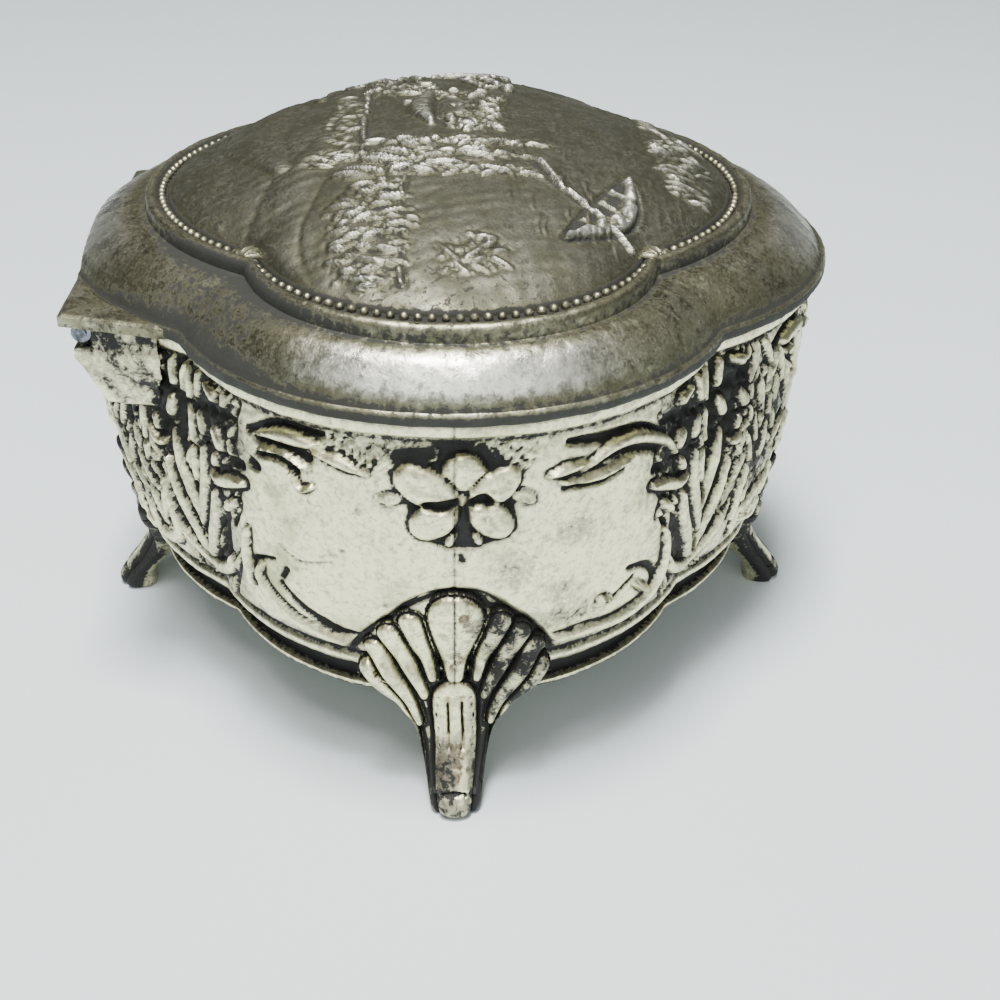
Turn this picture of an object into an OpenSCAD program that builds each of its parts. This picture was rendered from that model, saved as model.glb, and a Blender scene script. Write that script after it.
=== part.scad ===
// Rosary box: a small cast box on four splayed feet, with a hinged domed lid.
// The origin is the middle of the box at the level of its feet. +X runs along the
// box to its right-hand end, -Y is the front and +Y carries the hinge.

/* [Lid] */
// Length of the lid over its two end lobes
lid_len = 99.2; // [96:0.1:104]
// Width of the lid from its front lobe to the same lobe at the back, before the hinge cut
lid_wid = 91.2; // [88:0.1:95]
// Distance of each end lobe's centre from the middle
end_centre = 18.5; // [16.5:0.1:20.5]
// Distance of the front and back lobes' centres from the middle
side_centre = 10.8; // [9:0.1:12.5]
// Radius in the four notches between the lobes
notch_r = 3.2; // [2:0.1:5]
// Thickness of the lid's rim
rim_t = 1.4; // [1:0.1:2]
// Rise of the skirt from the rim to the foot of the panel
skirt_rise = 5.2; // [4:0.1:7]
// Reach of the raised panel over its end lobes
panel_end = 44.8; // [42:0.1:45.6]
// Reach of the raised panel over its front and back lobes
panel_side = 36.1; // [34:0.1:38]
// Rise of the dome above the panel's bead channel
dome_rise = 8.2; // [6:0.1:10]
// Wall of the lid casting
lid_wall = 1.5; // [1.2:0.1:2]
// Height of the modelled scene above the dome
scene_rise = 1; // [0.5:0.1:1.2]

/* [Body] */
// Height of the body's rim above the table
rim_z = 48.5; // [44:0.5:54]
// Height of the lower lip above the table
lip_z = 11.7; // [10:0.1:14]
// Set-back of the body's rim from the lid's edge
rim_setback = 1.6; // [1:0.1:2.5]
// Draw-in of the wall from the rim down to the lip
draw_in = 6.5; // [5:0.1:7.5]
// Thickness of the cast wall
wall = 2; // [1.6:0.1:2.4]
// Height of the leaves and scrolls above the wall
leaf_rise = 1; // [0.5:0.1:1.3]

/* [Feet] */
// Reach of the front and back toes from the middle
toe_side = 44.7; // [44:0.1:46]
// Reach of the end toes from the middle
toe_end = 49.3; // [48.5:0.1:49.5]
// Ribs on each side of a shell's broad middle rib
shell_ribs = 4; // [3:1:5]
// Reach of a shell's ribs from their root at the lip
shell_h = 13.4; // [11:0.2:14.6]

/* [Hinge] */
// Half-width of the hinge plate along the back edge
plate_half = 25; // [22:0.5:27]
// Distance of the lid's straight back edge from the middle
back_edge = 42.5; // [41.5:0.1:43.5]
// Distance of the hinge pin behind the middle
pin_y = 40.4; // [40:0.1:40.6]
// Diameter of the hinge pin
pin_d = 1.2; // [1:0.1:1.4]
// Outside diameter of the rolled knuckles
knuckle_d = 2.2; // [2.1:0.1:2.3]
// Length of both hinge leaves
leaf_len = 48; // [40:1:49]
// Thickness of a hinge leaf
leaf_t = 0.5; // [0.4:0.05:0.5]

/* [Lining] */
// Thickness of the fabric-covered card round the wall
lining_t = 1; // [0.8:0.1:1.4]
// Height of the crown on the floor pad
pad_crown = 2.2; // [1:0.1:3]
// Height of the crown on the lid pad
lid_pad_crown = 2; // [1:0.1:2.5]

/* [Hidden] */

silver = "#d9d4c0";
dark_silver = "#8f8b76";
steel = "#4c5157";
sheet_silver = "#b9b5a4";
velvet = "#6e1f2c";
satin = "#8c2c39";

seat_gap = 0.1;                        // between the closed lid and the body's rim
lid_z = rim_z + seat_gap;              // underside of the lid
pin_z = rim_z - 1.1;                   // height of the hinge pin
leaf_front_y = 35.2;                   // front edge of both leaves
ledge_y = 34.2;                        // inner edge of the ledge that carries the hinge
shelf_back_y = pin_y + 0.9;            // back face of the hinge shelf
shelf_z = pin_z - knuckle_d / 2 - 0.3; // floor of the trough under the knuckles
swing_z = lid_z - 3.85;                // the open lid's back edge stays above this

end_flower_z = rim_z - 9.2;            // middle of the flower on each end lobe

// Points along each arc of a quarter outline: end lobe, notch, side lobe.
arc_n = [5, 2, 6];

// ---------------------------------------------------------------- outlines

function mix(a, b, t) = a + (b - a) * t;
function clamp01(t) = min(1, max(0, t));
function ease(t) = let (s = clamp01(t)) s * s * (3 - 2 * s);
function reversed(v) = [for (i = [len(v) - 1:-1:0]) v[i]];

// Centre of the circle that fills the notch between two lobes of radius r1 and r2.
function notch_centre(c1, r1, c2, r2) =
    let (
        d = norm([c1, c2]),
        along = (r1 * r1 - r2 * r2 + d * d) / (2 * d),
        across = sqrt(r1 * r1 - along * along)
    )
    [c1 - c1 / d * along + c2 / d * across, c2 / d * along + c1 / d * across];

// A quarter of a four-lobed outline, from the +X axis round to the +Y axis.
function quarter(c1, r1, c2, r2, fillet) =
    let (
        n = notch_centre(c1, r1 + fillet, c2, r2 + fillet),
        a1 = atan2(n.y, n.x - c1),
        a2 = atan2(n.y - c2, n.x)
    )
    concat(
        [for (i = [0:arc_n[0]]) let (a = a1 * i / arc_n[0]) [c1 + r1 * cos(a), r1 * sin(a)]],
        [for (i = [1:arc_n[1]]) let (a = 180 + mix(a1, a2, i / arc_n[1]))
            [n.x + fillet * cos(a), n.y + fillet * sin(a)]],
        [for (i = [1:arc_n[2]]) let (a = mix(a2, 90, i / arc_n[2])) [r2 * cos(a), c2 + r2 * sin(a)]]
    );

// The back half of an outline, from +X round +Y to -X.
function half_ring(q) = concat(q, [for (i = [len(q) - 2:-1:0]) [-q[i].x, q[i].y]]);

// The whole outline, anticlockwise.
function full_ring(q) =
    let (h = half_ring(q))
    concat(h, [for (i = [len(h) - 2:-1:1]) [h[i].x, -h[i].y]]);

function with_z(ring, z) = [for (p = ring) [p.x, p.y, z]];

// ---------------------------------------------------------------- lofts

// Faces of a skin over rings of n points each; shut joins the last point to the first.
function skin_faces(rings, n, loop, shut) = [
    for (k = [0:(loop ? rings - 1 : rings - 2)], i = [0:(shut ? n - 1 : n - 2)])
        let (
            a = k * n + i,
            b = k * n + (i + 1) % n,
            c = (k + 1) % rings * n + (i + 1) % n,
            d = (k + 1) % rings * n + i
        )
        each [[a, c, b], [a, d, c]]
];

// A tube of rings that closes on itself, such as a hoop with any section.
module hoop(rings) {
    n = len(rings[0]);
    polyhedron(points = [for (r = rings) each r], faces = skin_faces(len(rings), n, true, true));
}

// Half a hoop, with its section showing flat at both ends.
module half_hoop(rings) {
    n = len(rings[0]);
    m = len(rings);
    polyhedron(
        points = [for (r = rings) each r],
        faces = concat(
            skin_faces(m, n, true, false),
            [[for (k = [m - 1:-1:0]) k * n]],
            [[for (k = [0:m - 1]) k * n + n - 1]]
        )
    );
}

// A solid between rings that rise one above another, with flat ends.
module stack(rings) {
    n = len(rings[0]);
    m = len(rings);
    polyhedron(
        points = [for (r = rings) each r],
        faces = concat(
            skin_faces(m, n, false, true),
            [[for (i = [0:n - 1]) i]],
            [[for (i = [n - 1:-1:0]) (m - 1) * n + i]]
        )
    );
}

// A solid between a flat bottom ring and a crown that closes in one top point.
module crowned(rings, top) {
    n = len(rings[0]);
    m = len(rings);
    polyhedron(
        points = concat([for (r = rings) each r], [top]),
        faces = concat(
            skin_faces(m, n, false, true),
            [[for (i = [0:n - 1]) i]],
            [for (i = [0:n - 1]) [(m - 1) * n + (i + 1) % n, (m - 1) * n + i, m * n]]
        )
    );
}

// ---------------------------------------------------------------- body form

rim_end = lid_len / 2 - rim_setback;
rim_side = lid_wid / 2 - rim_setback;

// Share of the height from the lip up to where the lobes stand at full depth.
function lift(z) = ease((z - lip_z) / (rim_z - 6 - lip_z));
function body_end_centre(z) = mix(0.76, 1, lift(z)) * end_centre;
function body_side_centre(z) = mix(0.58, 1, lift(z)) * side_centre;

// The wall between the lower mouldings and the rim: how far it stands inside the rim.
function belly(z) =
    let (t = clamp01((z - lip_z - 6) / (rim_z - lip_z - 8)))
    -0.64 * draw_in * pow(1 - t, 2.4) - 0.5 * pow(t, 6);

function body_quarter(z, out, inset) =
    let (
        c1 = body_end_centre(z),
        c2 = body_side_centre(z),
        r1 = rim_end + out - inset - c1,
        r2 = rim_side + out - inset - c2
    )
    quarter(c1, r1, c2, r2, notch_r + inset);

cove_out = -draw_in - 0.9;    // deepest part of the cove above the lip

// Outside of the casting from the lip up: [height above the lip, stand-out from the rim].
lower_mouldings = [
    [-0.4, -draw_in + 0.4], [0.1, -draw_in + 0.4], [0.7, cove_out + 0.2], [2.3, cove_out],
    [3.1, -draw_in + 1.4], [4.2, -draw_in + 2.1], [5.2, -draw_in + 1.6],
];
belly_levels = [6.2, 11, 18, 27];
upper_mouldings = [[-2.2, -0.55], [-1.5, 0.3], [0, 0.2]];

outer_profile = concat(
    [for (p = lower_mouldings) [lip_z + p[0], p[1], 0]],
    [for (h = belly_levels) [lip_z + h, belly(lip_z + h), 0]],
    [for (p = upper_mouldings) [rim_z + p[0], p[1], 0]]
);

base_t = 0.8;                 // thickness of the sheet bottom
base_z = lip_z + 0.5;         // ledge that the sheet bottom lies on
function inner_out(z) = z > lip_z + 6
    ? belly(z)
    : mix(cove_out, belly(lip_z + 6), clamp01((z - lip_z - 1.7) / 4.3));
inner_levels = [rim_z, rim_z - 10, rim_z - 21, lip_z + 6, lip_z + 1.7, base_z];
inner_profile = concat(
    [for (z = inner_levels) [z, inner_out(z), wall]],
    [[base_z, inner_out(base_z), wall + 1.4], [lip_z - 0.4, inner_out(base_z), wall + 1.4]]
);

// ---------------------------------------------------------------- work on the wall

// A point on a lobe's wall: across along the lobe, height z, out from the surface.
// The side lobe faces +Y, and an end lobe faces +X.
function wall_spot(end, across, z, out) =
    let (
        c = end ? body_end_centre(z) : body_side_centre(z),
        reach = end ? rim_end + belly(z) : rim_side + belly(z),
        turn = across / (reach - c) * 180 / PI,
        far = reach - c + out
    )
    end ? [c + far * cos(turn), -far * sin(turn), z] : [far * sin(turn), c + far * cos(turn), z];

// Depth that work on the wall is rooted to: under the shells it reaches back to the cove.
function wall_root(z) = mix(-3.6, -0.8, clamp01((z - lip_z - 2.5) / 3.5));

// Sections of a raised stroke, in shares of its half-width and rise: the two roots, which
// stand below the surface, then the top. A bead is round and a blade comes to an edge.
bead = [[-1, -1], [1, -1], [0.66, 0.7], [0, 1], [-0.66, 0.7]];
blade = [[-1.4, -1], [1.4, -1], [0, 1]];
function stroke_section(form, p, aim, rise) =
    [for (v = form) [p[0] - aim.y * p[2] * v[0], p[1] + aim.x * p[2] * v[0], rise * v[1]]];

function direction(a, b) = [b[0] - a[0], b[1] - a[1]] / norm([b[0] - a[0], b[1] - a[1]]);
function aim_at(path, i) = direction(path[max(0, i - 1)], path[min(len(path) - 1, i + 1)]);

// Joins two sections that are already in place.
module span(a, b) {
    hull()
        polyhedron(points = concat(a, b), faces = [[for (i = [0:len(a) + len(b) - 1]) i]]);
}

// A raised stroke on a lobe's wall: path lists [across, height, half-width].
module wall_stroke(end, path, rise, form = blade) {
    sections = [
        for (i = [0:len(path) - 1])
            [for (q = stroke_section(form, path[i], aim_at(path, i), rise))
                wall_spot(end, q[0], q[1], q[2] < 0 ? wall_root(q[1]) : q[2])]
    ];
    for (i = [0:len(path) - 2])
        span(sections[i], sections[i + 1]);
}

// The shell that each foot grows out of is a fan of lines: crests of the ribs, with a furrow
// after each. Each line: [angle from upright, reach, rise, foot across, foot above the lip].
// The ribs beside the broad middle one sweep down into the leg one below another.
function rib_line(k, reach, rise) =
    let (share = (k - 1) / shell_ribs)
    [14 + 64 * k / shell_ribs, reach, rise, 2.6 + 2.8 * share, 4.2 - 10.5 * share];
shell_side = concat(
    [[11, shell_h - 0.5, 1.3, 0.8, 3.3], [18, shell_h - 1.8, 0.15, 1.5, 3.6]],
    [for (k = [1:shell_ribs]) each [rib_line(k, shell_h - 1.1, 1.1), rib_line(k + 0.5, shell_h - 2.2, 0.15)]]
);
shell_lines = concat(
    [for (v = reversed(shell_side)) [-v[0], v[1], v[2], -v[3], v[4]]],
    [[0, shell_h, 1.6, 0, 3.2]],
    shell_side
);
// Stations along a line, from its sunk tip to its foot: [share of the way, share of the rise].
shell_stations = [[1, -1], [0.93, 1], [0.5, 1], [0, 0.7]];

function shell_spot(end, line, v, root) =
    let (
        tip = [0, lip_z + 2.2] + line[1] * [sin(line[0]), cos(line[0])],
        p = mix([line[3], lip_z + line[4]], tip, v[0]),
        out = v[1] < 0 ? -0.4 : v[1] * line[2]
    )
    wall_spot(end, p.x, p.y, root ? wall_root(p.y) : out);

module shell(end) {
    stack([
        for (line = shell_lines)
            concat(
                [for (v = shell_stations) shell_spot(end, line, v, true)],
                [for (v = reversed(shell_stations)) shell_spot(end, line, v, false)]
            )
    ]);
}

// Leg sections up from the toe: [height, distance of the front face from the toe, width,
// thickness].
leg = [
    [0, 0.3, 4.6, 3.2], [0.5, 0.1, 5.2, 3.2], [1.8, 0.1, 5.8, 3], [3.6, 1.2, 6.5, 3.4],
    [5.8, 3.2, 7.1, 3.6], [8.3, 4.7, 7.8, 3.6], [11, 5.3, 10.2, 3.4], [13.6, 5.3, 15, 3],
];

function oval_ring(wide, deep, at_y, z, n) =
    [for (i = [0:n - 1]) let (a = 360 * (i + 0.5) / n) [wide / 2 * cos(a), at_y + deep / 2 * sin(a), z]];

// One foot under the side lobe, toe towards +Y: the leg, and the tongue that lies on it.
module foot(toe) {
    stack([for (s = leg) oval_ring(s[2], s[3], toe - s[1] - s[3] / 2, s[0], 10)]);
    stack([
        for (i = [2:len(leg) - 1])
            let (s = leg[i], y = toe - s[1] - 0.95 + 0.5 * clamp01(s[0] / 6 - 0.4))
            oval_ring(mix(3.4, 4.8, s[0] / 14), 1.9, y, s[0] + 0.4, 6)
    ]);
}

module feet_and_shells() {
    foot(toe_side);
    shell(false);
    for (side = [0, 1])
        mirror([side, 0, 0])
            intersection() {
                union() {
                    rotate([0, 0, -90]) foot(toe_end);
                    shell(true);
                }
                translate([0, 0, -1]) cube([60, 60, 60]);
            }
}

// The five-petalled flower under the rim of each lobe: share of a petal's reach, half-width.
petal = [[0.25, 1], [0.74, 2.6], [1, 1.6]];

module flower(end, flower_z) {
    for (a = [0:72:288]) {
        path = [for (v = petal) [5.3 * v[0] * sin(a), flower_z + 5.3 * v[0] * cos(a), v[1]]];
        wall_stroke(end, path, leaf_rise, bead);
    }
    wall_stroke(end, [for (h = [-0.9, 0.9]) [0, flower_z + h, 0.8]], 1.4 * leaf_rise, bead);
}

module flowers(side_flower_z) {
    flower(false, side_flower_z);
    for (side = [0, 1])
        mirror([side, 0, 0])
            intersection() {
                flower(true, end_flower_z);
                translate([0, 0, 20]) cube([60, 60, 60]);
            }
}

// ---------------------------------------------------------------- corner leaves

// Direction of a notch seen from the middle, and how far out its wall is at height z.
function notch_point(z) =
    let (
        c1 = body_end_centre(z),
        c2 = body_side_centre(z),
        r1 = rim_end + belly(z) - c1,
        r2 = rim_side + belly(z) - c2,
        n = notch_centre(c1, r1 + notch_r, c2, r2 + notch_r)
    )
    n - notch_r * (n - [c1, c2] / 2) / norm(n - [c1, c2] / 2);

// A bud standing in the notch, with its foot at height z.
module notch_bud(z, bud_l, bud_w, proud) {
    p = notch_point(z);
    translate([p.x, p.y, z])
        rotate([0, 0, atan2(p.y, p.x) - 90])
            hull() {
                translate([0, proud - 1, 0.35 * bud_l])
                    scale([bud_w / 2, 1.3, 0.3 * bud_l])
                        sphere(1, $fn = 6);
                translate([0, proud - 0.6, bud_l])
                    cube([0.6, 0.8, 0.2], center = true);
            }
}

// Buds of the corner column: [height above the lip, length, width, stand-out].
column_buds = [[7.4, 8, 3.1, 1.2], [16, 8.2, 3.4, 1.3], [24.8, 8.4, 3.6, 1.5]];

// Leaves that fan out from the corner on to each lobe: [tip across, tip height above the lip,
// bend, half-width]. Their stalks stand on the corner.
corner_leaves = [
    [28.2, 11.4, -0.1, 1], [29.4, 16.4, -0.1, 1],
    [24.4, 22.3, -0.12, 1.1], [24, 26.2, -0.1, 1.1], [29.2, 32.2, -0.08, 1.1],
];
// The scroll that closes the smooth panel at its foot and rises beside it.
scroll = [[9.5, 8, 0.6], [15, 7.9, 0.9], [20, 8.6, 1], [23.8, 10.6, 1], [25.6, 13.8, 0.9], [25.4, 17.8, 0.4]];
// Sprays under the rim.
sprays = [
    [[12.5, 29.8, 0.4], [17.5, 31.5, 0.8], [22, 31, 0.9], [26.5, 28.6, 0.4]],
    [[11.5, 28, 0.3], [16.5, 28.9, 0.7], [21.5, 29, 0.3]],
];

// Foot of a leaf: low leaves stand at the bottom of the corner and high ones in its middle.
function stalk(v) = v[1] < 20 ? [34, 8.6 + 0.25 * (v[1] - 10)] : [34, 21.6 + 0.4 * (v[1] - 20)];

function leaf_path(v) =
    let (
        foot = stalk(v),
        way = [v[0], v[1]] - foot,
        bow = [-way.y, way.x] * v[2]
    )
    [
        [foot.x, foot.y, 0.5 * v[3]],
        concat(foot + 0.5 * way + bow, [v[3]]),
        concat(foot + 0.96 * way, [0.3 * v[3]]),
    ];

// A path given above the lip, on one side of a lobe. The side lobes are a little narrower.
function laid(path, end, side) = [for (p = path) [side * p[0] * (end ? 1 : 0.9), lip_z + p[1], p[2]]];

module lobe_leaves(end, sides) {
    for (side = sides) {
        for (path = concat([scroll], sprays, [for (v = corner_leaves) leaf_path(v)]))
            wall_stroke(end, laid(path, end, side), leaf_rise);
    }
}

module wall_leaves() {
    lobe_leaves(false, [-1, 1]);
    for (side = [0, 1])
        mirror([side, 0, 0]) {
            lobe_leaves(true, [-1]);
            for (v = column_buds)
                notch_bud(lip_z + v[0], v[1], v[2], v[3]);
        }
}

// ---------------------------------------------------------------- body castings

// The half that carries no hinge, standing on the +Y side.
module half_body(side_flower_z) {
    half_hoop([
        for (p = concat(outer_profile, inner_profile))
            with_z(half_ring(body_quarter(p[0], p[1], p[2])), p[0])
    ]);
    feet_and_shells();
    flowers(side_flower_z);
    wall_leaves();
}

// Space kept free inside the walls, so that the corbels don't come through.
module inside_clearance(top_z) {
    crowned(
        [for (z = [base_z, lip_z + 6, lip_z + 16, top_z])
            with_z(full_ring(body_quarter(z, inner_out(z), wall - 0.4)), z)],
        [0, 0, top_z + 0.01]
    );
}

// The ledge inside the back wall and the two corbels behind the notches.
module hinge_shelf() {
    back = shelf_back_y - 0.1;
    translate([0, 0, shelf_z - 1.4])
        linear_extrude(rim_z - shelf_z + 1.4)
            polygon([
                [-plate_half, back], [-plate_half - 2, 31.5], [-20, ledge_y],
                [20, ledge_y], [plate_half + 2, 31.5], [plate_half, back],
            ]);
    difference() {
        for (side = [0, 1])
            mirror([side, 0, 0])
                corbel(back);
        inside_clearance(shelf_z - 1.2);
    }
}

module corbel(back) {
    hull() {
        translate([0, 0, shelf_z - 1.6])
            linear_extrude(0.5)
                polygon([[12, back], [plate_half, back], [plate_half + 2, 31.5], [12, 36]]);
        translate([0, 0, shelf_z - 7.5])
            linear_extrude(0.2)
                polygon([[15, 38.6], [20, 37], [plate_half + 0.5, 30.5], [plate_half - 3, 30.5], [15, 36]]);
    }
}

// What the leaves, the knuckles and the swinging edge of the lid take out of the shelf.
module hinge_clearance() {
    translate([-leaf_len / 2 - 0.2, leaf_front_y - 0.2, rim_z - 2 * leaf_t])
        cube([leaf_len + 0.4, 20, 10]);
    translate([-plate_half - 5, pin_y - knuckle_d / 2 - 0.2, shelf_z])
        cube([2 * plate_half + 10, 20, 10]);
    translate([-plate_half - 5, shelf_back_y, swing_z])
        cube([2 * plate_half + 10, 20, 10]);
}

module body_front_half() {
    color(silver)
        mirror([0, 1, 0])
            half_body(end_flower_z);
}

module body_back_half() {
    color(silver)
        difference() {
            union() {
                half_body(swing_z - 6);
                hinge_shelf();
            }
            hinge_clearance();
        }
}

module base_plate() {
    color(sheet_silver)
        translate([0, 0, base_z])
            linear_extrude(base_t)
                polygon(full_ring(body_quarter(base_z, inner_out(base_z), wall + 0.1)));
}

// ---------------------------------------------------------------- lid

function lid_quarter(inset) =
    quarter(
        end_centre, lid_len / 2 - end_centre - inset,
        side_centre, lid_wid / 2 - side_centre - inset, notch_r + inset
    );
panel_end_centre = 1.22 * end_centre;
panel_side_centre = 0.28 * side_centre;
function panel_quarter(inset) =
    quarter(
        panel_end_centre, panel_end - panel_end_centre - inset,
        panel_side_centre, panel_side - panel_side_centre - inset, 0.4 * notch_r + inset
    );
function blend_rings(a, b, t) = [for (i = [0:len(a) - 1]) mix(a[i], b[i], t)];

rim_top = lid_z + rim_t;
skirt_top = rim_top + skirt_rise;
channel_z = skirt_top + 1.3;   // floor of the channel that holds the beads
dome_inset = 3.1;              // from the panel's edge to the foot of the dome

// Skirt: share of the way in from the rim to the panel, and of the rise.
skirt_shares = [[0, 0.03], [0.18, 0.36], [0.5, 0.79], [1, 1]];
// Moulding round the panel: [inset, height above the channel].
moulding = [[0.1, 0], [0.5, 0.5], [1.3, 0.5], [1.7, 0]];
dome_shares = [1, 0.94, 0.82, 0.62, 0.34];
inner_shares = [0.4, 0.75, 0.95];

// Foot of the dome, and the rings above it, which round off towards an oval at the top.
dome_foot = panel_quarter(dome_inset);
function oval_quarter() =
    [for (i = [0:len(dome_foot) - 1])
        let (a = 90 * i / (len(dome_foot) - 1))
        [(panel_end - dome_inset) * cos(a), (panel_side - dome_inset) * sin(a)]];
function dome_ring(s) = s * blend_rings(oval_quarter() * 0.94, dome_foot, pow(s, 1.6));
function dome_z(s) = channel_z + 0.1 + dome_rise * pow(1 - pow(s, 2.3), 0.8);

function lid_ring(quarter_points, z) = with_z(full_ring(quarter_points), z);

lid_outside = concat(
    [for (v = [[0.2, 0], [0, 0.3], [0, rim_t - 0.3]]) lid_ring(lid_quarter(v[0]), lid_z + v[1])],
    [for (s = skirt_shares)
        lid_ring(blend_rings(lid_quarter(0.5), panel_quarter(0), s[0]), rim_top + skirt_rise * s[1])],
    [for (m = moulding) lid_ring(panel_quarter(m[0]), channel_z + m[1])],
    [for (s = dome_shares) lid_ring(dome_ring(s), dome_z(s))]
);
function under_skirt(s) = blend_rings(lid_quarter(lid_wall), panel_quarter(lid_wall), s);
lid_inside = concat(
    [for (s = inner_shares) lid_ring(dome_ring(s) * 0.985, dome_z(s) - lid_wall)],
    [
        lid_ring(under_skirt(0.9), skirt_top - lid_wall),
        lid_ring(under_skirt(0.45), rim_top + 0.7 * skirt_rise - lid_wall),
        lid_ring(lid_quarter(lid_wall + 1.8), lid_z + 0.9),
        lid_ring(lid_quarter(lid_wall + 1.6), lid_z),
    ]
);

// The shell of the lid: two skins that meet at the rim and close over the dome.
module lid_shell() {
    n = len(lid_outside[0]);
    outs = len(lid_outside);
    ins = len(lid_inside);
    rings = concat(lid_outside, lid_inside);
    points = concat([for (r = rings) each r], [[0, 0, dome_z(0)], [0, 0, dome_z(0) - lid_wall]]);
    top = outs + ins;
    last = (top - 1) * n;
    polyhedron(points = points, faces = concat(
        skin_faces(outs, n, false, true),
        [for (f = skin_faces(ins, n, false, true)) [for (v = f) v + outs * n]],
        [for (i = [0:n - 1]) [(outs - 1) * n + (i + 1) % n, (outs - 1) * n + i, top * n]],
        [for (i = [0:n - 1]) [outs * n + i, outs * n + (i + 1) % n, top * n + 1]],
        [for (i = [0:n - 1]) each let (j = (i + 1) % n) [[i, j, last + i], [j, last + j, last + i]]]
    ));
}

// ---------------------------------------------------------------- scene on the dome

// Reach of the dome's foot in a direction, and of the oval that it rounds off towards.
function lobe_reach(c, r, along, across) = c * along + sqrt(max(0, r * r - c * c * across * across));
function foot_reach(a) = max(
    lobe_reach(panel_end_centre, panel_end - panel_end_centre - dome_inset, abs(cos(a)), sin(a)),
    lobe_reach(panel_side_centre, panel_side - panel_side_centre - dome_inset, abs(sin(a)), cos(a))
);
function oval_reach(a) = 1 / norm([cos(a) / (panel_end - dome_inset), sin(a) / (panel_side - dome_inset)]);

// Share of the way out to the dome's foot of the point at distance far in direction a.
function dome_share(far, a, s, tries) = tries == 0
    ? min(0.99, s)
    : dome_share(far, a, far / mix(0.94 * oval_reach(a), foot_reach(a), pow(s, 1.6)), tries - 1);
function dome_spot(x, y, up) = [x, y, dome_z(dome_share(norm([x, y]), atan2(y, x), 0.5, 5)) + up];

// A raised stroke on the dome: path lists [x, y, half-width].
module dome_stroke(path, rise) {
    sections = [
        for (i = [0:len(path) - 1])
            [for (q = stroke_section(bead, path[i], aim_at(path, i), rise))
                dome_spot(q[0], q[1], q[2] < 0 ? -0.9 : q[2])]
    ];
    for (i = [0:len(path) - 2])
        span(sections[i], sections[i + 1]);
}

// The scene is upright seen from the front. Each entry: [share of the rise, path].
hills = [
    [0.7, [[-35, 12.5, 1.4], [-22, 17.5, 3], [-8, 15.5, 1.6]]],
    [0.8, [[-10, 19.5, 1.4], [4, 23.4, 3.2], [21, 17.5, 1.4]]],
    [0.7, [[15, 14.5, 1], [25, 18, 2.6], [34, 12.5, 1.3]]],
];
banks = [
    [0.9, [[-37, 7.4, 1.6], [-28, 8.8, 2.4], [-19.5, 8.4, 1.6]]],
    [1, [[-13, -26.4, 1.8], [2, -27.4, 2.4], [17, -26.2, 1.8]]],
];
poplars = [for (v = [[-17, -9, 12], [-13.2, -7, 15], [-9.6, -8, 10]])
    [1, [[v[0], v[1] - 1, 0.5], [v[0], mix(v[1], v[2], 0.45), 1.4], [v[0] + 0.2, v[2] + 0.6, 0.4]]]];
cottage = [
    [0.9, [[-4.2, -1.5, 2.5], [9.7, -1.5, 2.5]]],
    [1.2, [[-5, 3, 1.7], [10.5, 3, 1.7]]],
    [1.3, [[6.2, 4.4, 0.7], [6.2, 6.9, 0.7]]],
];
bridge = [[1, [[13.6, -7.6, 0.9], [19, -4.9, 1.1], [24.5, -4.6, 1.1], [30.4, -7.4, 0.9]]]];
tree = [
    [1, [[30.4, -4, 0.9], [29.6, 4, 0.7]]],
    [1.1, [[24.6, 6, 2.8], [28.4, 8.6, 4.8], [32.6, 9.8, 2.8]]],
];
boat = [[1.1, [[-28.8, -12.2, 0.6], [-25.3, -15.4, 1.7], [-20.3, -18, 1.8], [-15.2, -19.5, 0.6]]]];

module dome_scene() {
    for (form = concat(hills, banks, poplars, cottage, bridge, tree, boat))
        dome_stroke(form[1], form[0] * scene_rise);
}

module hinge_plate() {
    flare = 3.6;
    translate([0, 0, lid_z])
        linear_extrude(rim_t)
            difference() {
                polygon([
                    [-plate_half, back_edge], [-plate_half - flare, 30.5],
                    [plate_half + flare, 30.5], [plate_half, back_edge],
                ]);
                polygon(full_ring(lid_quarter(1)));
            }
}

module lid() {
    color(dark_silver)
        intersection() {
            union() {
                lid_shell();
                dome_scene();
                hinge_plate();
            }
            translate([-60, back_edge - 120, lid_z]) cube([120, 120, 60]);
        }
}

// ---------------------------------------------------------------- hinge

// Spans of the knuckles along X: those rolled from the body leaf, then the lid leaf.
knuckle_gap = 0.2;
body_knuckles = [[-leaf_len / 2, -15], [-5, 5], [15, leaf_len / 2]];
lid_knuckles = [[-15 + knuckle_gap, -5 - knuckle_gap], [5 + knuckle_gap, 15 - knuckle_gap]];

// A leaf: flat strip, rolled knuckles on the pin, and one bore through them.
module leaf(z, knuckles, bore_d) {
    difference() {
        union() {
            translate([-leaf_len / 2, leaf_front_y, z])
                cube([leaf_len, pin_y - knuckle_d / 2 - 0.25 - leaf_front_y, leaf_t]);
            for (span = knuckles) {
                translate([span[0], pin_y - knuckle_d, z])
                    cube([span[1] - span[0], knuckle_d, leaf_t]);
                translate([span[0], pin_y, pin_z])
                    rotate([0, 90, 0])
                        cylinder(d = knuckle_d, h = span[1] - span[0], $fn = 48);
            }
        }
        translate([-leaf_len, pin_y, pin_z])
            rotate([0, 90, 0])
                cylinder(d = bore_d, h = 2 * leaf_len, $fn = 48);
    }
}

module hinge_leaf_body() {
    color(steel) leaf(rim_z - 2 * leaf_t, body_knuckles, pin_d);
}

module hinge_leaf_lid() {
    color(steel) leaf(lid_z - leaf_t, lid_knuckles, pin_d + 0.06);
}

module hinge_pin() {
    color(steel)
        translate([-leaf_len / 2 - 0.3, pin_y, pin_z])
            rotate([0, 90, 0])
                cylinder(d = pin_d, h = leaf_len + 0.6, $fn = 48);
}

// ---------------------------------------------------------------- lining

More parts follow.
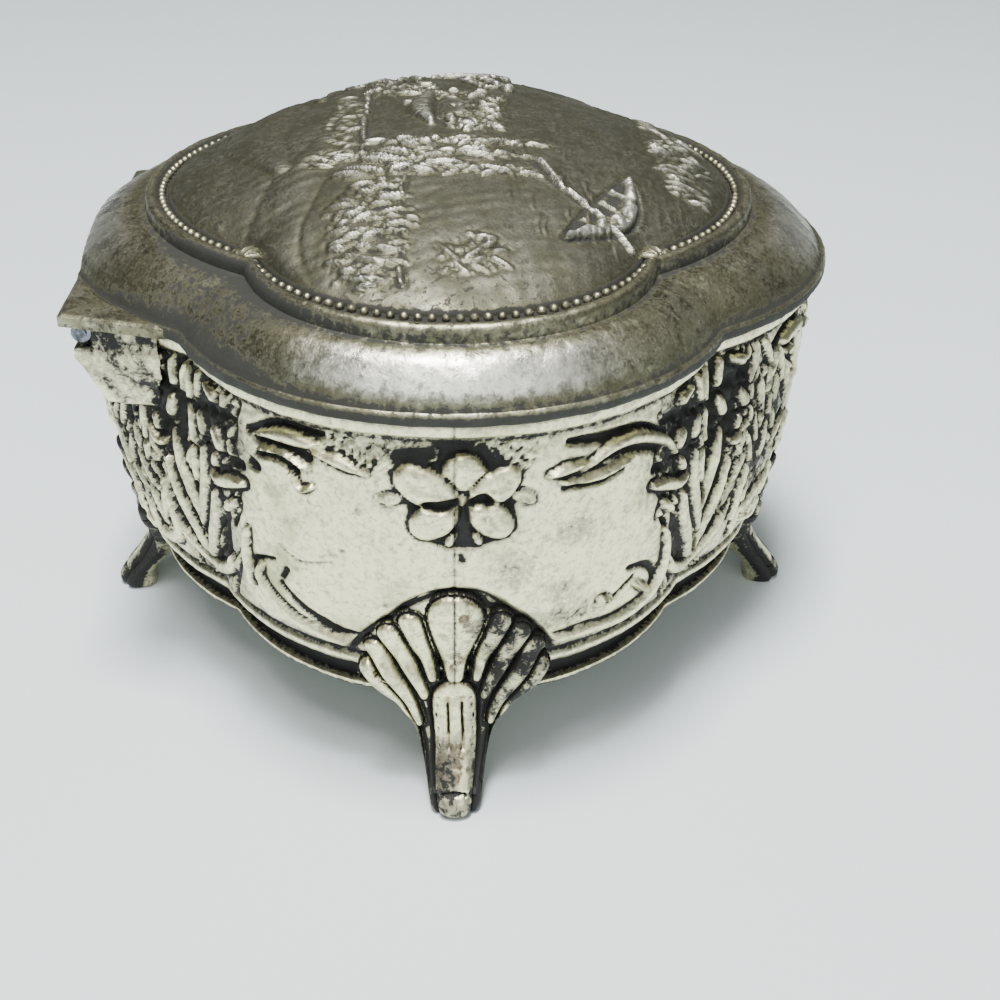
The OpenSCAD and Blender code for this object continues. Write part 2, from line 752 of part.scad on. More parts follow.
floor_z = base_z + base_t;
pad_edge_h = 1.4;
lining_gap = 0.2;             // between the card and the wall
function lining_quarter(z, gap) = body_quarter(z, inner_out(z), wall + gap);

// A cushion of fabric over card, flat below, with a crown that many pads this size have.
module cushion(edge, z, crown) {
    crowned(
        concat(
            [lid_ring(edge * 0.98, z), lid_ring(edge, z + 0.5), lid_ring(edge * 0.985, z + pad_edge_h)],
            [for (s = [0.93, 0.78, 0.5]) lid_ring(edge * s, z + pad_edge_h + crown * pow(1 - s * s, 0.6))]
        ),
        [0, 0, z + pad_edge_h + crown]
    );
}

module floor_pad() {
    color(velvet)
        cushion(lining_quarter(floor_z, lining_gap + lining_t + 0.2), floor_z, pad_crown);
}

lining_levels = [floor_z, lip_z + 1.7, lip_z + 6, lip_z + 18, rim_z - 5];

// Fabric-covered card round the wall, from the sheet bottom up to below the hinge ledge.
module wall_lining() {
    color(satin)
        hoop(concat(
            [for (z = lining_levels) lid_ring(lining_quarter(z, lining_gap), z)],
            [for (z = reversed(lining_levels)) lid_ring(lining_quarter(z, lining_gap + lining_t), z)]
        ));
}

// Puffed fabric pad glued up inside the lid's dome, crown downwards.
module lid_pad() {
    color(satin)
        mirror([0, 0, 1])
            cushion(dome_ring(0.86), -channel_z - 1.4, lid_pad_crown);
}

body_front_half();
body_back_half();
base_plate();
lid();
hinge_leaf_body();
hinge_leaf_lid();
hinge_pin();
floor_pad();
wall_lining();
lid_pad();
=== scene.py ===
import math

import bpy
import numpy as np
from mathutils import Matrix, Vector


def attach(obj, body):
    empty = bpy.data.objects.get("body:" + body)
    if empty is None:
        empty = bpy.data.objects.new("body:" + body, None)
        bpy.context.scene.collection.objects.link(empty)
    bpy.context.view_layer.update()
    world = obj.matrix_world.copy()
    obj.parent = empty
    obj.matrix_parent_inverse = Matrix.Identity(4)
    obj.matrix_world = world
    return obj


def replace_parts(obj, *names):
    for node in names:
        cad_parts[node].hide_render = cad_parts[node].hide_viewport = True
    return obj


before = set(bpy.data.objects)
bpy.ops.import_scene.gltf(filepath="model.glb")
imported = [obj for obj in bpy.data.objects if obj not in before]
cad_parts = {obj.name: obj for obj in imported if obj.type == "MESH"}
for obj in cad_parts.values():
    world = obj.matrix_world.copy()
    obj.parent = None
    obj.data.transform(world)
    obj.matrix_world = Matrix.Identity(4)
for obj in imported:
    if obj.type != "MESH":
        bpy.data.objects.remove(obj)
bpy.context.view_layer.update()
scene = bpy.context.scene
mm = 0.001

# The casting's own sizes in mm, as they are on the CAD part. +X is the right-hand end,
# -Y the front, and the hinge is at +Y.
casting = {
    "lidEnd": 49.6, "lidSide": 45.6, "endCentre": 18.5, "sideCentre": 10.8, "notch": 3.2,
    "panelEnd": 44.8, "panelSide": 36.1, "panelEndCentre": 22.57, "panelSideCentre": 3.02,
    "rimZ": 48.5, "lipZ": 11.7, "rimEnd": 48.0, "rimSide": 44.0, "drawIn": 6.5, "coveOut": -7.4,
    "wall": 2.0, "baseZ": 12.2, "lidZ": 48.6, "rimTop": 50.0, "channelZ": 56.5, "domeRise": 8.2,
    "beadEnd": 41.5, "beadEndCentre": 19.5, "beadSide": 34.1, "beadNotch": 2.4, "domeInset": 0.65,
    "backEdge": 42.5, "plateHalf": 25.0, "toeEnd": 49.3, "toeSide": 44.7,
}


# Numbers and curves

def mix(a, b, t):
    return a + (b - a) * t


def ease(t):
    t = np.clip(t, 0, 1)
    return t * t * (3 - 2 * t)


# A smooth curve through the points, whatever their columns hold
def smoothPath(points, steps=6):
    p = np.asarray(points, float)
    p = np.vstack([2 * p[0] - p[1], p, 2 * p[-1] - p[-2]])
    t = np.linspace(0, 1, steps, endpoint=False)[:, None]
    spans = [
        b + 0.5 * ((c - a) * t + (2 * a - 5 * b + 4 * c - d) * t**2 + (3 * b - a - 3 * c + d) * t**3)
        for a, b, c, d in zip(p, p[1:], p[2:], p[3:])
    ]
    return np.vstack(spans + [p[-2:-1]])


# The same curve at even steps of its length, measured on the first columns
def evenPath(points, step, measured=2):
    line = smoothPath(points, 12)
    run = np.concatenate([[0], np.cumsum(np.linalg.norm(np.diff(line[:, :measured], axis=0), axis=1))])
    places = np.linspace(0, run[-1], max(2, int(round(run[-1] / step)) + 1))
    return np.stack([np.interp(places, run, column) for column in line.T], 1)


# Slow unevenness between -1 and 1, from a few crossed waves
def wobble(points, size, seed):
    rng = np.random.default_rng(seed)
    total = 0
    for k in range(5):
        wave = rng.normal(size=3)
        wave *= 2 * math.pi / (size * rng.uniform(0.7, 1.6)) / np.linalg.norm(wave)
        total = total + np.sin(points @ wave + rng.uniform(0, 2 * math.pi))
    return total / 3.2


# The four-lobed outline

def notchCentre(c1, r1, c2, r2):
    d = np.hypot(c1, c2)
    along = (r1 * r1 - r2 * r2 + d * d) / (2 * d)
    across = np.sqrt(r1 * r1 - along * along)
    return c1 - c1 / d * along + c2 / d * across, c2 / d * along + c1 / d * across


# A point of the quarter outline: place runs 0-1 on the end lobe, 1-2 in the notch, 2-3 on the side lobe
def quarterPoint(place, c1, r1, c2, r2, fillet):
    nx, ny = notchCentre(c1, r1 + fillet, c2, r2 + fillet)
    a1 = np.arctan2(ny, nx - c1)
    a2 = np.arctan2(ny - c2, nx)
    onEnd, onSide = place <= 1, place > 2
    angle = np.where(onEnd, a1 * place, np.where(
        onSide, mix(a2, math.pi / 2, place - 2), math.pi + mix(a1, a2, place - 1)))
    radius = np.where(onEnd, r1, np.where(onSide, r2, fillet))
    x = np.where(onEnd, c1, np.where(onSide, 0, nx)) + radius * np.cos(angle)
    y = np.where(onEnd, 0, np.where(onSide, c2, ny)) + radius * np.sin(angle)
    return x, y


def lift(z):
    return ease((z - casting["lipZ"]) / (casting["rimZ"] - 6 - casting["lipZ"]))


# Centres of the body's end and side lobes at a height
def endCentre(z):
    return mix(0.76, 1, lift(z)) * casting["endCentre"]


def sideCentre(z):
    return mix(0.58, 1, lift(z)) * casting["sideCentre"]


# Set-out of the wall from the rim between the mouldings. It is below 0, since the wall stands inside.
def belly(z):
    t = np.clip((z - casting["lipZ"] - 6) / (casting["rimZ"] - casting["lipZ"] - 8), 0, 1)
    return -0.64 * casting["drawIn"] * (1 - t) ** 2.4 - 0.5 * t**6


def bodyPoint(place, z, out, inset):
    c1, c2 = endCentre(z), sideCentre(z)
    r1 = casting["rimEnd"] + out - inset - c1
    r2 = casting["rimSide"] + out - inset - c2
    return quarterPoint(place, c1, r1, c2, r2, casting["notch"] + inset)


# A quarter outline drawn in by an inset: the reach and centre of its end and side lobes, and its notch
def lobedPoint(place, inset, endReach, endAt, sideReach, sideAt, notch):
    return quarterPoint(place, endAt, endReach - endAt - inset, sideAt, sideReach - sideAt - inset,
                        notch + inset)


def lidPoint(place, inset):
    return lobedPoint(place, inset, casting["lidEnd"], casting["endCentre"], casting["lidSide"],
                      casting["sideCentre"], casting["notch"])


def panelPoint(place, inset):
    return lobedPoint(place, inset, casting["panelEnd"], casting["panelEndCentre"], casting["panelSide"],
                      casting["panelSideCentre"], 0.4 * casting["notch"])


# The line of the beads, in the channel between the moulding and the dome
def channelPoint(place, inset):
    return lobedPoint(place, inset, casting["beadEnd"], casting["beadEndCentre"], casting["beadSide"],
                      casting["panelSideCentre"], casting["beadNotch"])


# Places round a quarter at even steps along it, and how far each is from the middle of its lobe
def evenPlaces(step, outline):
    fine = np.linspace(0, 3, 2401)
    x, y = outline(fine)
    run = np.concatenate([[0], np.cumsum(np.hypot(np.diff(x), np.diff(y)))])
    places = np.interp(np.linspace(0, run[-1], int(round(run[-1] / step)) + 1), run, fine)
    length = np.interp(places, fine, run)
    cusp = np.interp(1.5, fine, run)
    across = np.where(length < cusp, length, (run[-1] - length) * cusp / (run[-1] - cusp))
    return places, across


# Meshes from grids

def gridFaces(rows, columns, loopRows=False, loopColumns=False):
    r = np.arange(rows if loopRows else rows - 1)[:, None]
    c = np.arange(columns if loopColumns else columns - 1)[None, :]
    r2, c2 = (r + 1) % rows, (c + 1) % columns
    a, b, d, e = (r * columns + c, r * columns + c2, r2 * columns + c2, r2 * columns + c)
    return np.stack([a, b, d, e], -1).reshape(-1, 4)


def makeMesh(name, points, faces, attributes=None, material=None, sharpAngle=50):
    mesh = bpy.data.meshes.new(name)
    mesh.from_pydata((np.asarray(points).reshape(-1, 3) * mm).tolist(), [], faces)
    mesh.validate()
    for key, values in (attributes or {}).items():
        layer = mesh.attributes.new(key, "FLOAT", "POINT")
        layer.data.foreach_set("value", np.asarray(values, np.float32).ravel())
    mesh.shade_smooth()
    mesh.set_sharp_from_angle(angle=math.radians(sharpAngle))
    piece = bpy.data.objects.new(name, mesh)
    scene.collection.objects.link(piece)
    if material:
        mesh.materials.append(material)
    return piece


# Outward normals of a grid of points, whose columns run anticlockwise and rows upwards
def gridNormals(points, loopColumns=False):
    if loopColumns:
        wide = np.concatenate([points[:, -1:], points, points[:, :1]], 1)
        along = np.gradient(wide, axis=1)[:, 1:-1]
    else:
        along = np.gradient(points, axis=1)
    normal = np.cross(along, np.gradient(points, axis=0))
    return normal / np.maximum(np.linalg.norm(normal, axis=-1, keepdims=True), 1e-9)


# Reliefs: a height map in mm that strokes are modelled on

def newRelief(x0, x1, y0, y1, pitch=0.1):
    x, y = np.meshgrid(np.arange(x0, x1 + pitch, pitch), np.arange(y0, y1 + pitch, pitch))
    return {"x": x, "y": y, "pitch": pitch, "height": np.zeros_like(x)}


# Models one rounded stroke. path holds (x, y, half-width); dig is the groove cut round it,
# ring the groove's width and vein the line down its middle.
def stroke(relief, path, rise, dig=0.3, ring=0.45, vein=0.0, roundness=0.6, join=False):
    line = smoothPath(path)
    line[:, 2] = np.maximum(line[:, 2], 0.06)
    reach = line[:, 2].max() + ring
    start = np.array([relief["x"][0, 0], relief["y"][0, 0]])
    shape = np.array(relief["x"].shape[::-1])
    low = np.clip(((line[:, :2].min(0) - reach - start) / relief["pitch"]).astype(int), 0, shape)
    high = np.clip(((line[:, :2].max(0) + reach - start) / relief["pitch"]).astype(int) + 2, 0, shape)
    if (high - low).min() <= 0:
        return
    window = (slice(low[1], high[1]), slice(low[0], high[0]))
    x, y, height = (relief[key][window] for key in ("x", "y", "height"))
    share, gap = np.full(x.shape, 9.0), np.full(x.shape, 9.0)
    for (xa, ya, wa), (xb, yb, wb) in zip(line, line[1:]):
        dx, dy = xb - xa, yb - ya
        t = np.clip(((x - xa) * dx + (y - ya) * dy) / max(dx * dx + dy * dy, 1e-9), 0, 1)
        width = mix(wa, wb, t)
        far = np.hypot(x - xa - t * dx, y - ya - t * dy)
        share, gap = np.minimum(share, far / width), np.minimum(gap, far - width)
    inside = gap < 0
    dome = rise * np.maximum(1 - share**2, 0) ** roundness - vein * np.exp(-((share / 0.2) ** 2))
    if join:
        dome = np.maximum(dome, height) if rise > 0 else np.minimum(dome, height)
    groove = np.clip(1 - gap / ring, 0, 1) ** 1.2
    height[:] = np.where(inside, dome, mix(height, np.minimum(height, -dig), groove))


def blurred(values, cells):
    for axis in (0, 1, 0, 1):
        padded = np.concatenate([np.repeat(np.take(values, [0], axis), cells + 1, axis), values,
                                 np.repeat(np.take(values, [-1], axis), cells, axis)], axis)
        total = np.cumsum(padded, axis)
        size = values.shape[axis]
        upper = np.take(total, range(2 * cells + 1, 2 * cells + 1 + size), axis)
        values = (upper - np.take(total, range(size), axis)) / (2 * cells + 1)
    return values


# Where black tarnish and painted shade lie: grooves and the foot of every raised stroke
def settleTarnishShade(relief, deep=1.1, narrow=2.2, wide=1.4):
    height = relief["height"]
    hollow = blurred(height, int(0.5 / relief["pitch"])) - height
    valley = blurred(height, int(1.3 / relief["pitch"])) - height
    relief["grime"] = np.clip(-height * deep + hollow * narrow + valley * wide, 0, 1.2)
    fine = np.abs(height - blurred(height, int(0.8 / relief["pitch"])))
    relief["brush"] = np.clip(9 * blurred(fine, 6) - 0.5, 0, 1)
    # crest: the tops of fine relief, which the panel shows as painted glints
    relief["crest"] = ease((height - blurred(height, int(1.2 / relief["pitch"])) - 0.1) / 0.3)


def readRelief(relief, x, y, key="height"):
    columns = (x - relief["x"][0, 0]) / relief["pitch"]
    rows = (y - relief["y"][0, 0]) / relief["pitch"]
    shape = relief["x"].shape
    columns, rows = np.clip(columns, 0, shape[1] - 1.001), np.clip(rows, 0, shape[0] - 1.001)
    c, r = columns.astype(int), rows.astype(int)
    fc, fr = columns - c, rows - r
    v = relief[key]
    return mix(mix(v[r, c], v[r, c + 1], fc), mix(v[r + 1, c], v[r + 1, c + 1], fc), fr)


# Materials

def addNode(tree, kind, inputs=None, **settings):
    node = tree.nodes.new(kind)
    for key, value in settings.items():
        setattr(node, key, value)
    for key, value in (inputs or {}).items():
        socket = node.inputs[key]
        if isinstance(value, bpy.types.NodeSocket):
            tree.links.new(value, socket)
        else:
            socket.default_value = value
    return node


def calculate(tree, operation, a, b=0.0, clamp=False):
    return addNode(tree, "ShaderNodeMath", {0: a, 1: b}, operation=operation, use_clamp=clamp).outputs[0]


def between(tree, value, low, high, toLow=0.0, toHigh=1.0):
    node = addNode(tree, "ShaderNodeMapRange", {
        "Value": value, "From Min": low, "From Max": high, "To Min": toLow, "To Max": toHigh},
        interpolation_type="SMOOTHSTEP")
    return node.outputs["Result"]


def blendColour(tree, factor, first, second):
    node = addNode(tree, "ShaderNodeMix", data_type="RGBA")
    for index, value in ((0, factor), (6, first), (7, second)):
        if isinstance(value, bpy.types.NodeSocket):
            tree.links.new(value, node.inputs[index])
        else:
            node.inputs[index].default_value = value
    return node.outputs[2]


def noise(tree, where, size, detail=4.0, roughness=0.6, distortion=0.0):
    return addNode(tree, "ShaderNodeTexNoise", {
        "Vector": where, "Scale": 1 / (size * mm), "Detail": detail,
        "Roughness": roughness, "Distortion": distortion}).outputs["Fac"]


def newMaterial(name):
    material = bpy.data.materials.new(name)
    material.use_nodes = True
    tree = material.node_tree
    tree.nodes.clear()
    where = addNode(tree, "ShaderNodeTexCoord").outputs["Object"]
    shader = addNode(tree, "ShaderNodeBsdfPrincipled")
    output = addNode(tree, "ShaderNodeOutputMaterial", {"Surface": shader.outputs[0]})
    return material, tree, where, shader


# Silver plate over cast metal: bright where it is rubbed and where a highlight is painted, grey where it
# has tarnished, black in the recesses where tarnish and painted shade lie, and brown where the plate has
# gone.
def silverPlate(name, look):
    material, tree, where, shader = newMaterial(name)
    grime, bare, rubbedHighlight, brush = (
        addNode(tree, "ShaderNodeAttribute", attribute_name=key).outputs["Fac"]
        for key in ("grime", "bare", "rubbedHighlight", "brush"))
    stretched = addNode(tree, "ShaderNodeMapping", {"Vector": where, "Scale": (1, 0.22, 1)}).outputs[0]
    streak = calculate(tree, "MULTIPLY", brush, noise(tree, stretched, 0.45, 3, 0.6))
    cloud = noise(tree, where, look["cloudSize"], 5, 0.62)
    fleck = noise(tree, where, look["fleckSize"], 3, 0.7, 0.4)
    grain = noise(tree, where, 0.35, 4, 0.75)
    tarnish = between(tree, cloud, *look["tarnishRange"])
    flecks = between(tree, fleck, look["fleckFrom"], look["fleckFrom"] + 0.05)
    torn = calculate(tree, "MULTIPLY", calculate(tree, "SUBTRACT", fleck, 0.5), 1.3)
    ragged = calculate(tree, "ADD", grime, torn)
    black = between(tree, ragged, look["tarnishShadeFrom"], look["tarnishShadeFrom"] + 0.3)
    # Where the painted highlight lies, flecks and lace fade and the colour goes over to the highlight colour
    spared = calculate(tree, "SUBTRACT", 1.0, calculate(tree, "MULTIPLY", rubbedHighlight, 0.9))
    flecks = calculate(tree, "MULTIPLY", flecks, spared)
    black = calculate(tree, "MAXIMUM", black, calculate(tree, "MULTIPLY", flecks, look["fleckDepth"]))
    plate = blendColour(tree, tarnish, look["bright"], look["tarnished"])
    highlightShare = calculate(tree, "MULTIPLY", rubbedHighlight, calculate(tree, "SUBTRACT", 1.5, cloud, True))
    plate = blendColour(tree, highlightShare, plate, look["rubbedHighlight"])
    lace = between(tree, noise(tree, where, look["mottleSize"], 8, 0.75, 0.3), 0.50, 0.62)
    lace = calculate(tree, "MULTIPLY", lace, spared)
    plate = blendColour(tree, calculate(tree, "MULTIPLY", lace, look["mottle"]), plate, look["dulled"])
    spots = noise(tree, where, 1.6, 6, 0.7)
    uneven = calculate(tree, "MULTIPLY", calculate(tree, "SUBTRACT", spots, 0.5), 2.4)
    worn = between(tree, calculate(tree, "ADD", bare, uneven), 0.45, 0.75)
    plate = blendColour(tree, worn, plate, look["bareMetal"])
    dulled = between(tree, ragged, 0.02, look["tarnishShadeFrom"] + 0.05)
    plate = blendColour(tree, calculate(tree, "MULTIPLY", dulled, 0.75), plate, look["dulled"])
    colour = blendColour(tree, black, plate, look["black"])
    gloss = between(tree, grain, 0.3, 0.75, look["roughness"], look["roughness"] + 0.16)
    matt = calculate(tree, "ADD", calculate(tree, "MULTIPLY", tarnish, 0.12),
                     calculate(tree, "MULTIPLY", black, 0.3))
    rough = calculate(tree, "ADD", gloss, matt, True)
    rough = calculate(tree, "SUBTRACT", rough, calculate(tree, "MULTIPLY", rubbedHighlight, 0.12))
    metal = calculate(tree, "SUBTRACT", 1.0, calculate(tree, "MULTIPLY", black, 0.75))
    tree.links.new(colour, shader.inputs["Base Color"])
    tree.links.new(metal, shader.inputs["Metallic"])
    tree.links.new(rough, shader.inputs["Roughness"])
    relief = calculate(tree, "ADD", calculate(tree, "MULTIPLY", grain, 0.7),
                       calculate(tree, "MULTIPLY", fleck, 0.6))
    relief = calculate(tree, "ADD", relief, calculate(tree, "MULTIPLY", streak, look["streakDepth"]))
    bump = addNode(tree, "ShaderNodeBump", {
        "Strength": look["bump"], "Distance": 0.12 * mm, "Height": relief})
    tree.links.new(bump.outputs[0], shader.inputs["Normal"])
    return material


# Sizes are in mm. Ranges and levels say where a noise between 0 and 1 starts to show.
bodySilverLook = {
    "bright": (0.98, 0.94, 0.60, 1), "tarnished": (0.58, 0.55, 0.34, 1), "black": (0.012, 0.012, 0.010, 1),
    "dulled": (0.30, 0.28, 0.20, 1), "rubbedHighlight": (0.96, 0.93, 0.77, 1), "bareMetal": (0.11, 0.058, 0.032, 1),
    "mottle": 0.12, "mottleSize": 2.0, "cloudSize": 7.0, "tarnishRange": (0.50, 0.74), "fleckSize": 0.8,
    "fleckFrom": 0.70, "fleckDepth": 0.7, "tarnishShadeFrom": 0.42, "roughness": 0.30, "bump": 0.3,
    "streakDepth": 3.0,
}
lidSilverLook = {
    "bright": (0.56, 0.54, 0.38, 1), "tarnished": (0.26, 0.25, 0.16, 1), "black": (0.03, 0.03, 0.024, 1),
    "dulled": (0.12, 0.115, 0.07, 1), "rubbedHighlight": (1.0, 0.98, 0.86, 1), "bareMetal": (0.19, 0.09, 0.05, 1),
    "mottle": 0.85, "mottleSize": 1.8, "cloudSize": 5.0, "tarnishRange": (0.36, 0.60), "fleckSize": 0.9,
    "fleckFrom": 0.56, "fleckDepth": 0.6, "tarnishShadeFrom": 0.38, "roughness": 0.30, "bump": 0.5,
    "streakDepth": 5.0,
}
panelSilverLook = dict(
    lidSilverLook, bright=(0.205, 0.202, 0.15, 1), tarnished=(0.105, 0.104, 0.072, 1), fleckDepth=0.7,
    cloudSize=4.0, tarnishShadeFrom=0.34, roughness=0.40, mottle=0.55)
bodySilver = silverPlate("body_silver_plate", bodySilverLook)
lidSilver = silverPlate("lid_silver_plate", lidSilverLook)
panelSilver = silverPlate("panel_silver_plate", panelSilverLook)
print("materials ready")


# Camera, floor and light

# place in mm, turns in radians
view = {"position": (-178.31, 1.01, 115.1), "pitch": 0.5231, "yaw": -0.0423, "roll": 0.0139, "lens": 54.886}


def placeCamera():
    pitch, yaw, roll = view["pitch"], view["yaw"], view["roll"]
    ahead = np.array([math.cos(yaw) * math.cos(pitch), math.sin(yaw) * math.cos(pitch), -math.sin(pitch)])
    right = np.array([math.sin(yaw), -math.cos(yaw), 0])
    up = np.cross(right, ahead)
    rolledRight = math.cos(roll) * right + math.sin(roll) * up
    rolledUp = math.cos(roll) * up - math.sin(roll) * right
    camera = bpy.data.objects.new("camera", bpy.data.cameras.new("camera"))
    camera.data.lens = view["lens"]
    camera.data.sensor_width = 36
    camera.data.clip_start = 0.01
    place = Matrix.Identity(4)
    for column, axis in enumerate((rolledRight, rolledUp, -ahead)):
        for row in range(3):
            place[row][column] = axis[row]
    place.translation = [v * mm for v in view["position"]]
    camera.matrix_world = place
    scene.collection.objects.link(camera)
    scene.camera = camera


placeCamera()

# In metres and watts. Each lamp has its place, its size and its power.
studio = {
    "floorColour": (0.785, 0.86, 0.865, 1), "floorHalf": 1.2, "aim": (0, 0, 0.05),
    "horizon": 0.13, "zenith": 0.12, "darkSide": 1.25, "lightSide": 0.65, "nearGlow": 1.7,
    "lamps": {
        "window": ((-0.25, 0.08, 0.8), (0.19, 0.46), 6.2),
        "near_window": ((-0.38, 0.04, 0.56), (0.13, 0.42), 0.3),
        "ceiling": ((-0.13, 0.03, 0.8), (0.16, 0.22), 8.4),
    },
}


def makeFloor():
    half = studio["floorHalf"]
    corners = [(-half, -half, 0), (half, -half, 0), (half, half, 0), (-half, half, 0)]
    mesh = bpy.data.meshes.new("floor")
    mesh.from_pydata(corners, [], [(0, 1, 2, 3)])
    floor = bpy.data.objects.new("floor", mesh)
    scene.collection.objects.link(floor)
    material, _, _, shader = newMaterial("pale_floor")
    shader.inputs["Base Color"].default_value = studio["floorColour"]
    shader.inputs["Roughness"].default_value = 0.7
    mesh.materials.append(material)


def addLamp(name, place, size, power):
    data = bpy.data.lights.new(name, "AREA")
    data.shape = "RECTANGLE"
    data.size, data.size_y = size
    data.energy = power
    lamp = bpy.data.objects.new(name, data)
    lamp.location = place
    back = (np.array(place) - np.array(studio["aim"])).tolist()
    lamp.rotation_mode = "QUATERNION"
    lamp.rotation_quaternion = Vector(back).to_track_quat("Z", "Y")
    scene.collection.objects.link(lamp)


# A dim sky that is lighter on one side, with a glow in front of the box
def makeWorld():
    world = bpy.data.worlds.new("studio")
    scene.world = world
    world.use_nodes = True
    tree = world.node_tree
    tree.nodes.clear()
    direction = addNode(tree, "ShaderNodeTexCoord").outputs["Generated"]
    parts = addNode(tree, "ShaderNodeSeparateXYZ", {"Vector": direction}).outputs
    height = between(tree, parts["Z"], -0.1, 0.75, studio["horizon"], studio["zenith"])
    sides = between(tree, parts["Y"], -0.8, 0.8, studio["darkSide"], studio["lightSide"])
    strength = calculate(tree, "MULTIPLY", height, sides)
    ahead = between(tree, parts["X"], -0.85, -0.4, studio["nearGlow"], 0.0)
    band = calculate(tree, "MULTIPLY", between(tree, parts["Z"], 0.05, 0.3),
                     between(tree, parts["Z"], 0.6, 0.85, 1.0, 0.0))
    strength = calculate(tree, "ADD", strength, calculate(tree, "MULTIPLY", ahead, band))
    background = addNode(tree, "ShaderNodeBackground", {"Color": (0.93, 0.98, 1.0, 1), "Strength": strength})
    addNode(tree, "ShaderNodeOutputWorld", {"Surface": background.outputs[0]})


makeFloor()
makeWorld()
for name, lamp in studio["lamps"].items():
    addLamp(name, *lamp)
print("camera and light ready")


# Relief of the body wall: one lobe seen from outside, used on all four

# A leaf with a vein, from its foot to its tip
def leaflet(relief, x0, y0, x1, y1, width, rise=0.8, bend=0.15, dig=0.45, vein=0.3, ring=0.5):
    dx, dy = x1 - x0, y1 - y0
    path = []
    for t, w in ((0, 0.3), (0.25, 0.85), (0.55, 1.0), (0.8, 0.7), (1, 0.15)):
        bow = math.sin(math.pi * t)
        path.append((x0 + dx * t - dy * bend * bow, y0 + dy * t + dx * bend * bow, w * width))
    stroke(relief, path, rise, dig=dig, vein=vein, ring=ring)


# Short strokes at random places and angles
def scratches(relief, count, xRange, yRange, length, rise, seed, dig=0.16):
    rng = np.random.default_rng(seed)
    for k in range(count):
        x, y = rng.uniform(*xRange), rng.uniform(*yRange)
        angle, size = rng.uniform(0, math.pi), rng.uniform(0.6, 1.2) * length
        path = [(x + t * size * math.cos(angle + 0.5 * t), y + t * size * math.sin(angle + 0.5 * t), w)
                for t, w in ((-0.5, 0.08), (0, 0.17), (0.5, 0.08))]
        stroke(relief, path, rise * rng.uniform(0.5, 1.2), dig=dig, ring=0.25)


# Darker patches laid mostly over a relief's low parts: across, height, reach both ways, depth
def smear(relief, spots):
    for x, y, wide, high, amount in spots:
        far = ((relief["x"] - x) / wide) ** 2 + ((relief["y"] - y) / high) ** 2
        low = 1 - 0.75 * ease(relief["height"] / 0.8)
        relief["grime"] = np.maximum(relief["grime"], amount * low * np.exp(-far))


def mirrored(path, side):
    return [(side * x, y, w) for x, y, w in path]


# One narrow leaf through a point, leaning at an angle, on one side of the lobe. widths are its
# half-widths at the foot, the middle and the tip.
def blade(relief, side, x, y, turn, reach, widths, rise, **cut):
    dx, dy = reach * math.cos(turn), reach * math.sin(turn)
    path = [(x - dx, y - dy, widths[0]), (x, y, widths[1]), (x + dx, y + dy, widths[2])]
    stroke(relief, mirrored(path, side), rise, **cut)


# Raised and sunk strokes of a lobe: across, height, half-width. Those of the corners stand on both
# sides, and those of the field between them on one.
corner = {
    "frame": [(36.4, 18, 0.9), (36.4, 30, 1.1), (36.4, 46, 1.3)],
    # leaves up the cusp: height, size
    "leaves": ((43.2, 1.0), (38.2, 1.15), (33.0, 1.1), (28.0, 0.95), (23.2, 0.9)),
    "ridges": (
        [(36.5, 19.0, 1.0), (34.2, 23.5, 1.3), (31.6, 28.5, 1.2), (30.4, 32.6, 0.5)],
        [(37.5, 24.5, 1.0), (35.2, 29.0, 1.2), (33.5, 33.4, 1.1), (33.0, 37.0, 0.4)],
        [(37.0, 20.0, 0.7), (33.0, 20.6, 0.9), (29.4, 22.6, 0.9), (28.6, 24.6, 0.3)],
        [(24.0, 36.3, 0.5), (26.5, 35.6, 0.9), (29.2, 34.6, 0.7), (31.0, 35.2, 0.3)],
        [(28.0, 39.6, 1.1), (29.0, 40.6, 0.9)], [(32.8, 39.5, 1.1), (33.2, 40.6, 1.0)],
        [(29.0, 44.6, 0.8), (31.0, 45.2, 0.5)], [(26.4, 33.0, 0.7), (27.4, 32.0, 0.7)],
        [(29.6, 36.8, 0.8), (29.2, 37.6, 0.7)], [(33.8, 43.2, 0.8), (33.4, 45.4, 0.7)],
    ),
    "pits": (
        [(30.4, 22.6, 0.3), (29.4, 26.6, 0.65), (28.7, 31.0, 0.4)],
        [(34.9, 25.2, 0.3), (32.8, 30.0, 0.6), (31.7, 34.4, 0.5)], [(25.6, 43.4, 0.6), (28.6, 42.8, 0.8)],
        [(30.2, 42.5, 0.9), (31.9, 42.4, 0.8)], [(24.4, 38.2, 0.6), (26.0, 38.0, 0.8)],
        [(30.6, 37.4, 0.9), (31.6, 36.8, 1.0)], [(35.0, 38.0, 0.6), (35.0, 41.5, 0.6)],
        [(27.2, 29.8, 0.5), (26.2, 31.2, 0.35)], [(34.4, 35.4, 0.4), (34.8, 36.8, 0.5)],
        [(31.6, 39.4, 0.5), (30.6, 38.6, 0.5)],
    ),
}
